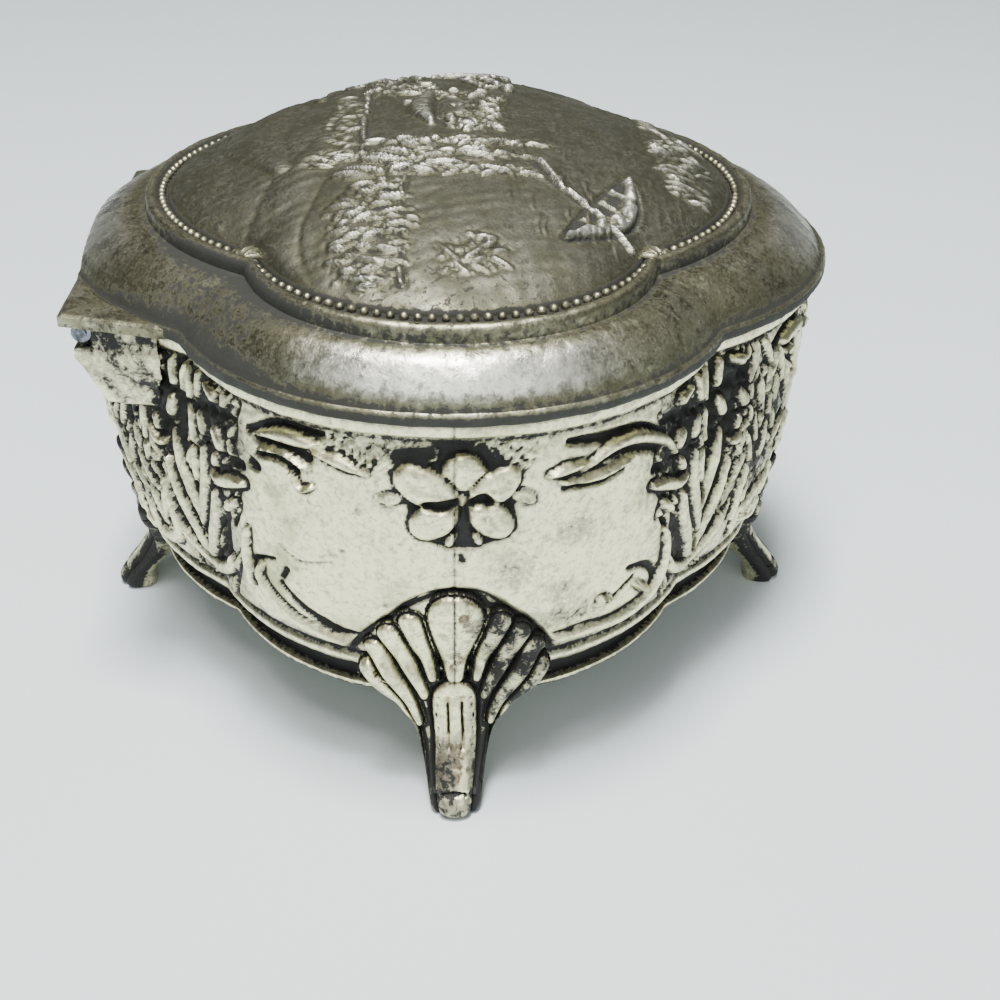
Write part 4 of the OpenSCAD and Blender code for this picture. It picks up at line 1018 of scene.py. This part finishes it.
# Hills behind the water, the far bank and the reeds on the left
def hillsAndBanks(relief):
    for path in ([(-38, 15, 1.5), (-28, 19, 3.0), (-16, 17, 3.2), (-6, 14, 1.5)],
                 [(-12, 19, 1.2), (0, 23, 3.6), (14, 20, 3.4), (24, 15, 1.5)],
                 [(14, 16, 1.2), (24, 19, 2.8), (34, 14, 1.2)]):
        stroke(relief, path, 0.45, dig=0.12, ring=0.6, roundness=0.8)
    for y, x0, x1 in ((5.2, -37, -18), (4.0, 20, 37), (9.6, -12, 20)):
        stroke(relief, [(x0, y, 0.25), (mix(x0, x1, 0.5), y + 0.5, 0.45), (x1, y - 0.2, 0.2)],
               0.6, dig=0.45, ring=0.5)
    foliage(relief, -28, 8.6, 9.5, 3.2, 150, 41, size=1.25, lean=90, spread=22, rise=0.7)
    foliage(relief, -33, -2, 3.0, 2.6, 40, 42, size=1.1, lean=80, spread=50, rise=0.5)


def poplars(relief):
    for x, low, top in ((-17.0, -9, 12), (-13.2, -7, 15), (-9.6, -8, 10)):
        stroke(relief, [(x, low - 3, 0.2), (x, low + 3, 0.35), (x + 0.2, top, 0.15)], 0.5, dig=0.4)
        foliage(relief, x, mix(low, top, 0.5), 1.3, 0.5 * (top - low), 46, 50 + int(abs(x)),
                size=1.4, lean=90, spread=25, rise=0.85)


def cottageAmongBushes(relief):
    stroke(relief, [(-1.4, -1.0, 2.2), (6.6, -1.0, 2.2)], 0.6, dig=0.2, roundness=0.35)
    stroke(relief, [(-3.4, 2.2, 0.5), (2.6, 3.2, 2.0), (8.6, 2.2, 0.5)],
           0.9, dig=0, ring=0.1, roundness=0.6, join=True)
    for k in range(5):
        stroke(relief, [(-1.2 + 1.9 * k, 1.4, 0.12), (-0.9 + 1.8 * k, 4.2, 0.1)],
               0.95, dig=0, ring=0.1, join=True)
    stroke(relief, [(4.9, 4.6, 0.4), (4.9, 5.6, 0.35)], 0.7, dig=0.1)
    for x, y in ((-1.2, -1.4), (2.2, -1.0), (5.6, -1.6)):
        stroke(relief, [(x, y - 0.3, 0.35), (x, y + 0.4, 0.35)], -0.2, dig=0, ring=0.1)
    foliage(relief, -3.6, -3.0, 2.6, 3.4, 34, 63, size=1.0, spread=60, rise=0.8)
    foliage(relief, 8.6, -2.2, 2.4, 3.8, 34, 64, size=1.0, spread=60, rise=0.8)
    foliage(relief, 2.4, -4.6, 5.0, 1.2, 34, 65, size=0.9, spread=60, rise=0.7)


# A footbridge on the right, with its arch and rails
def footbridge(relief):
    stroke(relief, [(14, -7.5, 0.9), (19, -4.9, 1.0), (24.5, -4.6, 1.0), (30, -7.2, 0.9)],
           0.9, dig=0.5, roundness=0.25)
    stroke(relief, [(14, -4.6, 0.22), (19, -2.0, 0.25), (24.5, -1.8, 0.25), (30, -4.3, 0.22)], 0.7, dig=0.35)
    for k in range(7):
        x = 15 + 2.4 * k
        arch = math.sin(math.pi * k / 6)
        stroke(relief, [(x, -7.2 + 2.2 * arch, 0.2), (x, -4.4 + 2.5 * arch, 0.2)], 0.75, dig=0.2, join=True)
    stroke(relief, [(19, -8.6, 0.8), (22, -7.0, 1.6), (25, -8.6, 0.8)], -0.55, dig=0.2)


def broadTree(relief):
    stroke(relief, [(30.5, -8, 0.9), (29.5, 0, 0.7), (30.5, 8, 0.4)], 0.9, dig=0.5)
    stroke(relief, [(29.6, 1.5, 0.45), (26.5, 6, 0.3), (24.5, 9, 0.15)], 0.7, dig=0.4)
    foliage(relief, 29, 8.5, 6.4, 5.6, 150, 61, size=1.5, lean=70, spread=90, rise=0.75)
    foliage(relief, 14.5, 6.0, 4.2, 3.4, 60, 62, size=1.3, lean=90, spread=60, rise=0.6)


# A rowing boat drawn up on the near bank, with its thwarts and an oar
def rowingBoat(relief):
    stroke(relief, [(-29, -12.0, 0.3), (-25.5, -15.2, 1.6), (-20.5, -18.0, 1.9), (-15, -19.6, 0.5)], 1.0,
           dig=0.8, roundness=0.35)
    stroke(relief, [(-28, -12.4, 0.2), (-24.6, -14.6, 0.7), (-20.4, -17.0, 0.9), (-16, -18.8, 0.3)],
           -0.4, dig=0.1)
    for k in range(4):
        x, y = -25.8 + 2.5 * k, -15.1 - 1.2 * k
        stroke(relief, [(x - 0.6, y - 1.1, 0.18), (x + 0.7, y + 1.2, 0.18)], 0.75, dig=0.2, ring=0.3)
    stroke(relief, [(-27, -19.0, 0.25), (-19.5, -12.0, 0.3), (-14.5, -9.5, 0.55)], 0.9, dig=0.4)


def ripplesAndReeds(relief):
    rng = np.random.default_rng(71)
    for k in range(60):
        x, y = rng.uniform(-30, 30), rng.uniform(-26, -6)
        size = rng.uniform(1.0, 3.2)
        stroke(relief, [(x - size, y, 0.07), (x, y + 0.25, 0.16), (x + size, y - 0.1, 0.07)], 0.28,
               dig=0.18, ring=0.3, join=True)
    foliage(relief, 2, -27, 17, 2.6, 110, 72, size=1.3, lean=90, spread=45, rise=0.65)
    foliage(relief, 0, 12, 12, 1.4, 50, 73, size=1.0, lean=90, spread=40, rise=0.4)


def birds(relief):
    for x, y in ((-20, 25), (4, 28.5), (12, 26.5)):
        wings = ((-1.6, 0.6, 0.08), (-0.7, 0.2, 0.2), (0, 0, 0.12), (0.7, 0.2, 0.2), (1.6, 0.6, 0.08))
        stroke(relief, [(x + dx, y + dy, w) for dx, dy, w in wings], 0.35, dig=0.15)


# A landscape with water, seen from the front of the box
def panelRelief():
    relief = newRelief(-40, 40, -35, 35, 0.13)
    for model in (hillsAndBanks, poplars, cottageAmongBushes, footbridge, broadTree, rowingBoat,
                  ripplesAndReeds, birds):
        model(relief)
    relief["height"] = blurred(relief["height"], 1)
    settleTarnishShade(relief, deep=1.1, narrow=2.6, wide=0.8)
    return relief


# A square grid laid over a lobed outline: its sides go to the lobes and its corners to the cusps.
# Gives each point's place in the quarter, its share of the way out and the signs of x and y.
def lobeGrid(count, outline):
    i, j = np.meshgrid(np.arange(-count, count + 1), np.arange(-count, count + 1))
    far = np.maximum(np.abs(i), np.abs(j))
    towardsEnd = np.abs(i) >= np.abs(j)
    fraction = np.where(towardsEnd, np.abs(j), np.abs(i)) / np.maximum(far, 1)
    places, across = evenPlaces(0.1, outline)
    cusp = int(np.argmax(across))
    endPlaces = np.interp(fraction, across[:cusp + 1] / across[cusp], places[:cusp + 1])
    sidePlaces = np.interp(fraction, (across[cusp:] / across[cusp])[::-1], places[cusp:][::-1])
    places = np.where(towardsEnd, endPlaces, sidePlaces)
    return places, far / count, np.sign(i + (i == 0)), np.sign(j + (j == 0))


# Closes a grid that faces up: rings run down and in from its edge, and the last one is filled
def closeBelow(top, makeRings):
    rows, columns = top.shape[:2]
    grid = np.arange(rows * columns).reshape(rows, columns)
    edge = np.concatenate([grid[0, :-1], grid[:-1, -1], grid[-1, :0:-1], grid[:0:-1, 0]])
    rings = makeRings(top.reshape(-1, 3)[edge])
    faces, total, last = gridFaces(rows, columns).tolist(), rows * columns, edge
    for ring in rings:
        now = np.arange(total, total + len(edge))
        faces += np.stack([last, now, np.roll(now, -1), np.roll(last, -1)], -1).tolist()
        total, last = total + len(edge), now
    faces.append(last.tolist()[::-1])
    return np.concatenate([top.reshape(-1, 3)] + rings), faces


def domeFoot(place):
    return channelPoint(place, casting["domeInset"])


def makePanel(relief):
    place, share, signX, signY = lobeGrid(lid["panelHalfCount"], domeFoot)
    x, y = domePoint(place, share)
    points = np.stack([x * signX, y * signY, domeHeight(share)], -1)
    normal = np.cross(np.gradient(points, axis=1), np.gradient(points, axis=0))
    normal /= np.linalg.norm(normal, axis=-1, keepdims=True)
    fade = ease((1 - share) / 0.05)
    jitter = 0.2 * wobble(points, 8, 81)
    height, grime, brush, crest = (readRelief(relief, points[..., 0] + jitter, points[..., 1] + jitter, key)
                                   for key in ("height", "grime", "brush", "crest"))
    height = height * lid["panelRelief"] * fade
    height += 0.07 * wobble(points, 6, 82) + 0.035 * wobble(points, 1.7, 83)
    grime = np.maximum(grime, 0.9 * (1 - ease((1 - share) / 0.02)))

    def underside(rim):
        rings = []
        for inward, drop in ((1.0, 1.3), (0.93, 1.5), (0.72, 1.5), (0.4, 1.5)):
            ring = rim * np.array([inward, inward, 0])
            ring[:, 2] = domeHeight(inward) - drop
            rings.append(ring)
        return rings

    allPoints, faces = closeBelow(points + normal * height[..., None], underside)
    below = np.zeros(len(allPoints) - grime.size)
    # Painted glints: the crests of the fine relief are given the rubbed highlight
    attributes = {"grime": np.append(grime, below + 0.3), "bare": np.zeros(len(allPoints)),
                  "brush": np.append(brush, below), "rubbedHighlight": np.append(0.55 * crest, below)}
    piece = makeMesh("lid_panel", allPoints, faces, attributes, panelSilver)
    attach(piece, "lid")


def domePoint(place, share):
    footX, footY = domeFoot(place)
    ovalX, ovalY = casting["beadEnd"] - casting["domeInset"], casting["beadSide"] - casting["domeInset"]
    angle = np.arctan2(footY / ovalY, footX / ovalX)
    blend = share**1.6
    return (share * mix(0.94 * ovalX * np.cos(angle), footX, blend),
            share * mix(0.94 * ovalY * np.sin(angle), footY, blend))


def domeHeight(share):
    return casting["channelZ"] + casting["domeRise"] * np.power(1 - np.power(share, 2.3), 0.8)


# Three small leaves over the beads at each cusp of the panel
cuspLeaf = {"length": 3.4, "width": 1.5, "height": 0.75, "fan": 38, "z": 56.5, "inset": -1.4}


def makeCuspLeaves():
    rows, columns = 13, 12
    t = np.linspace(0, 1, rows)[:, None]
    turn = np.linspace(0, 2 * math.pi, columns, endpoint=False)[None, :]
    swell = np.sin(math.pi * t**0.8) ** 0.7
    blade = np.stack([cuspLeaf["length"] * t + 0 * turn, 0.5 * cuspLeaf["width"] * swell * np.cos(turn),
                      cuspLeaf["height"] * (0.4 + 0.6 * swell) * swell * np.sin(turn) + 0.35 * t], -1)
    blade[..., 2] -= 0.25 * np.exp(-((blade[..., 1] / 0.18) ** 2)) * (np.sin(turn) > 0)
    x, y = channelPoint(np.array([1.5]), cuspLeaf["inset"])
    allPoints, faces = [], []
    for signX, signY in ((1, 1), (-1, 1), (-1, -1), (1, -1)):
        inward = math.atan2(-y[0] * signY, -x[0] * signX)
        for fan in (-1, 1, 0):
            angle = inward + math.radians(cuspLeaf["fan"] * fan)
            size = 1.15 if fan == 0 else 0.9
            spun = blade * size
            points = np.stack([x[0] * signX + spun[..., 0] * math.cos(angle) - spun[..., 1] * math.sin(angle),
                               y[0] * signY + spun[..., 0] * math.sin(angle) + spun[..., 1] * math.cos(angle),
                               cuspLeaf["z"] + spun[..., 2]], -1)
            start = len(allPoints) * rows * columns
            allPoints.append(points.reshape(-1, 3))
            faces += (gridFaces(rows, columns, loopColumns=True)[:, ::-1] + start).tolist()
            faces.append([start + k for k in range(columns)])
            faces.append([start + (rows - 1) * columns + k for k in range(columns)][::-1])
    points = np.concatenate(allPoints)
    grime = np.clip(1.0 - 1.3 * (points[:, 2] - cuspLeaf["z"]), 0, 0.9)
    piece = makeMesh("lid_cusp_leaves", points, faces, {"grime": grime, "bare": 0 * grime}, lidSilver)
    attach(piece, "lid")


makeLidSkirt()
makePanel(panelRelief())
makeCuspLeaves()
print("lid ready")


# Beads in the channel round the panel

beads = {"pitch": 1.38, "radius": 0.47, "rise": 56.5, "guideStep": 0.4}


def geometryTree(name, sockets):
    tree = bpy.data.node_groups.new(name, "GeometryNodeTree")
    tree.interface.new_socket("Geometry", in_out="INPUT", socket_type="NodeSocketGeometry")
    tree.interface.new_socket("Geometry", in_out="OUTPUT", socket_type="NodeSocketGeometry")
    for label, kind in sockets:
        tree.interface.new_socket(label, in_out="INPUT", socket_type=kind)
    return tree


# Runs the tree on an object, leaves a plain mesh and takes the modifier off
def runTree(piece, tree, values):
    modifier = piece.modifiers.new("nodes", "NODES")
    modifier.node_group = tree
    for item in tree.interface.items_tree:
        if item.in_out == "INPUT" and item.name in values:
            modifier[item.identifier] = values[item.name]
    bpy.context.view_layer.update()
    shown = piece.evaluated_get(bpy.context.evaluated_depsgraph_get())
    mesh = bpy.data.meshes.new_from_object(shown)
    piece.modifiers.clear()
    name = piece.name
    finished = bpy.data.objects.new(name, mesh)
    scene.collection.objects.link(finished)
    bpy.data.objects.remove(piece)
    finished.name = name
    return finished


def beadTree():
    sockets = ("Pitch", "NodeSocketFloat"), ("Radius", "NodeSocketFloat"), ("Finish", "NodeSocketMaterial")
    tree = geometryTree("beads_on_a_line", sockets)
    start = addNode(tree, "NodeGroupInput").outputs
    curve = addNode(tree, "GeometryNodeMeshToCurve", {"Mesh": start["Geometry"]})
    even = addNode(tree, "GeometryNodeResampleCurve", {"Curve": curve.outputs[0], "Length": start["Pitch"]},
                   mode="LENGTH")
    ball = addNode(tree, "GeometryNodeMeshIcoSphere", {"Radius": start["Radius"], "Subdivisions": 3})
    size = addNode(tree, "FunctionNodeRandomValue", {2: 0.9, 3: 1.08, "Seed": 9}, data_type="FLOAT")
    placed = addNode(tree, "GeometryNodeInstanceOnPoints", {
        "Points": even.outputs[0], "Instance": ball.outputs[0], "Scale": size.outputs[1]})
    real = addNode(tree, "GeometryNodeRealizeInstances", {0: placed.outputs[0]})
    smooth = addNode(tree, "GeometryNodeSetShadeSmooth", {0: real.outputs[0]})
    finish = addNode(tree, "GeometryNodeSetMaterial", {
        "Geometry": smooth.outputs[0], "Material": start["Finish"]})
    addNode(tree, "NodeGroupOutput", {"Geometry": finish.outputs[0]})
    return tree


def beadLine(place):
    return channelPoint(place, 0)


def makeBeads():
    place, _, signX, signY = wholeRing(*evenPlaces(beads["guideStep"], beadLine))
    x, y = beadLine(place)
    line = np.stack([x * signX, y * signY, np.full(len(x), beads["rise"])], -1)
    mesh = bpy.data.meshes.new("bead_row")
    count = len(line)
    mesh.from_pydata((line * mm).tolist(), [(k, (k + 1) % count) for k in range(count)], [])
    guide = bpy.data.objects.new("bead_row", mesh)
    scene.collection.objects.link(guide)
    values = {"Pitch": beads["pitch"] * mm, "Radius": beads["radius"] * mm, "Finish": lidSilver}
    piece = runTree(guide, beadTree(), values)
    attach(piece, "lid")


makeBeads()
print("beads ready")

# The straight plate at the back of the lid, and the shelf under the hinge

hinge = {
    "plateFlare": 3.6, "plateFront": 30.5, "shelfZ": 46.0, "shelfDrop": 1.4, "shelfBack": 41.2,
    "ledgeY": 34.2, "earOut": 2, "earY": 31.5, "corbelDrop": 7.5, "corbelShare": 0.62,
    "corbelAt": (19.5, 34.5), "voxel": 0.28,
}


def makeHingePlate():
    rows = np.linspace(hinge["plateFront"], casting["backEdge"], 49)
    length = casting["backEdge"] - hinge["plateFront"]
    half = casting["plateHalf"] + hinge["plateFlare"] * (casting["backEdge"] - rows) / length
    u = np.linspace(-1, 1, 181)
    x = half[:, None] * u
    points = np.stack([x, rows[:, None] + 0 * x, np.full(x.shape, casting["rimTop"] - 0.03)], -1)
    edge = np.minimum(half[:, None] - np.abs(x), casting["backEdge"] - points[..., 1])
    points[..., 2] += 0.05 * wobble(points, 3, 91) - 0.25 * (1 - ease(edge / 0.5))

    def underside(rim):
        flat = rim.copy()
        flat[:, 2] = casting["lidZ"]
        return [flat]

    allPoints, faces = closeBelow(points, underside)
    grime = np.full(len(allPoints), 0.2)
    grime += 0.25 * wobble(allPoints, 5, 92)
    piece = makeMesh("lid_hinge_plate", allPoints, faces, {"grime": grime, "bare": 0 * grime}, lidSilver)
    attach(piece, "lid")


def prism(outline, low, high):
    count = len(outline)
    points = [(x, y, low) for x, y in outline] + [(x, y, high) for x, y in outline]
    faces = [list(range(count))[::-1], list(range(count, 2 * count))]
    faces += [[k, (k + 1) % count, count + (k + 1) % count, count + k] for k in range(count)]
    return points, faces


# The ledge that carries the hinge and the two corbels under its ends, cast with the back half
def makeShelf():
    half, back, ledge = casting["plateHalf"], hinge["shelfBack"], hinge["ledgeY"]
    floor, low, rim = hinge["shelfZ"], hinge["shelfZ"] - hinge["shelfDrop"], casting["rimZ"]
    recess, inner, recessTop = body["recess"]
    trough = body["trough"][0]
    earX, earY = half + hinge["earOut"], hinge["earY"]
    ledgeOutline = [(-20, ledge), (20, ledge), (earX, earY), (half, back), (-half, back), (-earX, earY)]
    parts = [
        prism(ledgeOutline, low, floor),
        prism([(-inner, ledge), (inner, ledge), (inner, trough), (-inner, trough)], low, recessTop),
        prism([(-inner, ledge), (inner, ledge), (inner, recess), (-inner, recess)], low, rim),
    ]
    for side in (-1, 1):
        block = [(inner, 33.0), (half + 1.7, 31.6), (half + 0.4, trough), (inner, trough)]
        wedge = [(12, back), (15, 36), (earX, earY), (half, back)]
        if side < 0:
            block, wedge = ([(-x, y) for x, y in outline][::-1] for outline in (block, wedge))
        parts.append(prism(block, low, rim))
        points, faces = prism(wedge, floor - hinge["corbelDrop"], low + 0.3)
        centre = np.array([side * hinge["corbelAt"][0], hinge["corbelAt"][1]])
        tapered = []
        for x, y, z in points:
            share = hinge["corbelShare"] if z < low - 1 else 1.0
            tapered.append((*mix(centre, np.array([x, y]), share), z))
        parts.append((tapered, faces))
    allPoints, allFaces = [], []
    for points, faces in parts:
        allFaces += [[v + len(allPoints) for v in face] for face in faces]
        allPoints += points
    rough = makeMesh("shelf_blank", np.array(allPoints), allFaces)
    remesh = rough.modifiers.new("merge", "REMESH")
    remesh.mode = "VOXEL"
    remesh.voxel_size = hinge["voxel"] * mm
    smooth = rough.modifiers.new("soften", "SMOOTH")
    smooth.iterations = 2
    shown = rough.evaluated_get(bpy.context.evaluated_depsgraph_get()).to_mesh()
    points = np.array([v.co for v in shown.vertices]) / mm
    faces = [list(p.vertices) for p in shown.polygons]
    bpy.data.objects.remove(rough)
    outer = ease((45.8 - points[:, 2]) / 2)
    points += (outer * 0.18 * wobble(points, 2.4, 95))[:, None] * np.array([0.6, 1, 0.4])
    grime = 0.4 + 0.3 * wobble(points, 2.2, 96) + 0.25 * ease((points[:, 2] - 45.5) / 1.5)
    piece = makeMesh("hinge_shelf", points, faces, {"grime": grime, "bare": 0 * grime}, bodySilver)
    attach(piece, "body")


makeHingePlate()
makeShelf()

steelLook = {"bright": (0.30, 0.33, 0.37, 1), "dark": (0.09, 0.095, 0.10, 1)}


def steelFinish():
    material, tree, where, shader = newMaterial("hinge_steel")
    cloud = noise(tree, where, 1.5, 5, 0.7)
    colour = blendColour(tree, between(tree, cloud, 0.35, 0.65), steelLook["bright"], steelLook["dark"])
    tree.links.new(colour, shader.inputs["Base Color"])
    tree.links.new(between(tree, cloud, 0.3, 0.7, 0.28, 0.5), shader.inputs["Roughness"])
    shader.inputs["Metallic"].default_value = 1.0
    pitted = noise(tree, where, 0.3)
    bump = addNode(tree, "ShaderNodeBump", {"Strength": 0.3, "Distance": 0.05 * mm, "Height": pitted})
    tree.links.new(bump.outputs[0], shader.inputs["Normal"])
    return material


sheetLook = dict(lidSilverLook, bright=(0.46, 0.45, 0.40, 1), tarnished=(0.26, 0.25, 0.21, 1), roughness=0.36)
finishes = {
    "base_plate": silverPlate("sheet_silver_plate", sheetLook),
    "hinge_leaf_body": steelFinish(),
}
finishes["hinge_leaf_lid"] = finishes["hinge_pin"] = finishes["hinge_leaf_body"]
for node, finish in finishes.items():
    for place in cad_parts[node].material_slots:
        place.material = finish
print("hinge ready")


# Lining: a velvet pad on the bottom, satin round the wall and a puffed satin pad in the lid

lining = {
    "padEdge": 3.4, "padZ": 13.0, "padSide": 1.4, "padCrown": 2.2, "wallGap": 0.2, "wallThick": 1.0,
    "wallLevels": (13.0, 13.4, 17.7, 29.7, 43.5), "wallStep": 0.8, "midZ": 30.0,
    "lidPadShare": 0.86, "lidPadZ": 57.9, "lidPadCrown": 2.0, "padHalfCount": 70,
}


def fabric(name, look):
    material, tree, where, shader = newMaterial(name)
    nap = noise(tree, where, look["napSize"], 5, 0.6)
    weave = noise(tree, where, 0.25, 2, 0.5)
    colour = blendColour(tree, between(tree, nap, 0.35, 0.7), look["colour"], look["shade"])
    tree.links.new(colour, shader.inputs["Base Color"])
    shader.inputs["Roughness"].default_value = look["roughness"]
    shader.inputs["Sheen Weight"].default_value = look["sheen"]
    shader.inputs["Sheen Roughness"].default_value = 0.4
    shader.inputs["Sheen Tint"].default_value = look["colour"]
    bump = addNode(tree, "ShaderNodeBump", {"Strength": 0.5, "Distance": 0.1 * mm, "Height": weave})
    tree.links.new(bump.outputs[0], shader.inputs["Normal"])
    return material


velvet = fabric("lining_velvet", {
    "colour": (0.155, 0.014, 0.024, 1), "shade": (0.085, 0.007, 0.013, 1),
    "napSize": 9.0, "roughness": 0.9, "sheen": 0.8})
satin = fabric("lining_satin", {
    "colour": (0.26, 0.024, 0.042, 1), "shade": (0.19, 0.016, 0.03, 1),
    "napSize": 6.0, "roughness": 0.42, "sheen": 0.3})


# Set-out of the wall that the lining lies against, which steps in over the cove
def innerOut(z):
    lip = casting["lipZ"]
    step = mix(casting["coveOut"], belly(lip + 6), np.clip((z - lip - 1.7) / 4.3, 0, 1))
    return np.where(z > lip + 6, belly(z), step)


def liningPoint(place, z, inset):
    return bodyPoint(place, z, innerOut(z), casting["wall"] + inset)


def liningMiddle(place):
    return liningPoint(place, lining["midZ"], 0)


def floorLine(place):
    return liningPoint(place, lining["padZ"], lining["padEdge"] - casting["wall"])


def lidPadLine(place):
    return domePoint(place, lining["lidPadShare"])


# A pad with a crown, a rounded shoulder and shallow unevenness
def makePad(name, outline, z, crown, up, material, bodyName):
    place, share, signX, signY = lobeGrid(lining["padHalfCount"], outline)
    edgeX, edgeY = outline(place)
    x, y = edgeX * share * signX, edgeY * share * signY
    side = lining["padSide"]
    rise = side + crown * np.power(np.maximum(1 - share**2, 0), 0.6)
    rise -= (side - 0.5) * np.power(np.clip((share - 0.965) / 0.035, 0, 1), 2)
    points = np.stack([x, y, rise], -1)
    uneven = 0.09 * wobble(points, 12, 101) + 0.05 * wobble(points, 4, 102)
    points[..., 2] += uneven * ease((1 - share) / 0.1)
    points[..., 2] = z + up * points[..., 2]

    def underside(rim):
        flat = rim * np.array([0.98, 0.98, 0])
        flat[:, 2] = z
        return [flat]

    allPoints, faces = closeBelow(points, underside)
    if up < 0:
        faces = [face[::-1] for face in faces]
    piece = makeMesh(name, allPoints, faces, material=material, sharpAngle=80)
    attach(piece, bodyName)
    return piece


def makeWallLining():
    levels = evenPath([(z, 0.0) for z in lining["wallLevels"]], lining["wallStep"])[:, 0]
    place, _, signX, signY = wholeRing(*evenPlaces(lining["wallStep"], liningMiddle))
    gap, thick = lining["wallGap"], lining["wallThick"]
    rows = [(z, gap) for z in levels] + [(z, gap + thick) for z in levels[::-1]]
    z, inset = np.array(rows).T[:, :, None]
    x, y = liningPoint(place[None, :], z, inset)
    points = np.stack([x * signX, y * signY, np.broadcast_to(z, x.shape)], -1)
    inside = inset > gap + 0.1
    points[..., :2] *= 1 - np.where(inside, 0.0012 * (1 + wobble(points, 6, 104)), 0)[..., None]
    faces = gridFaces(*points.shape[:2], loopRows=True, loopColumns=True).tolist()
    piece = makeMesh("wall_lining_satin", points, faces, material=satin)
    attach(piece, "body")
    return piece


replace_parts(makeWallLining(), "wall_lining")
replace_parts(makePad("floor_pad_velvet", floorLine, lining["padZ"], lining["padCrown"], 1,
                    velvet, "body"), "floor_pad")
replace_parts(makePad("lid_pad_satin", lidPadLine, lining["lidPadZ"], lining["lidPadCrown"], -1,
                    satin, "lid"), "lid_pad")
print("lining ready")
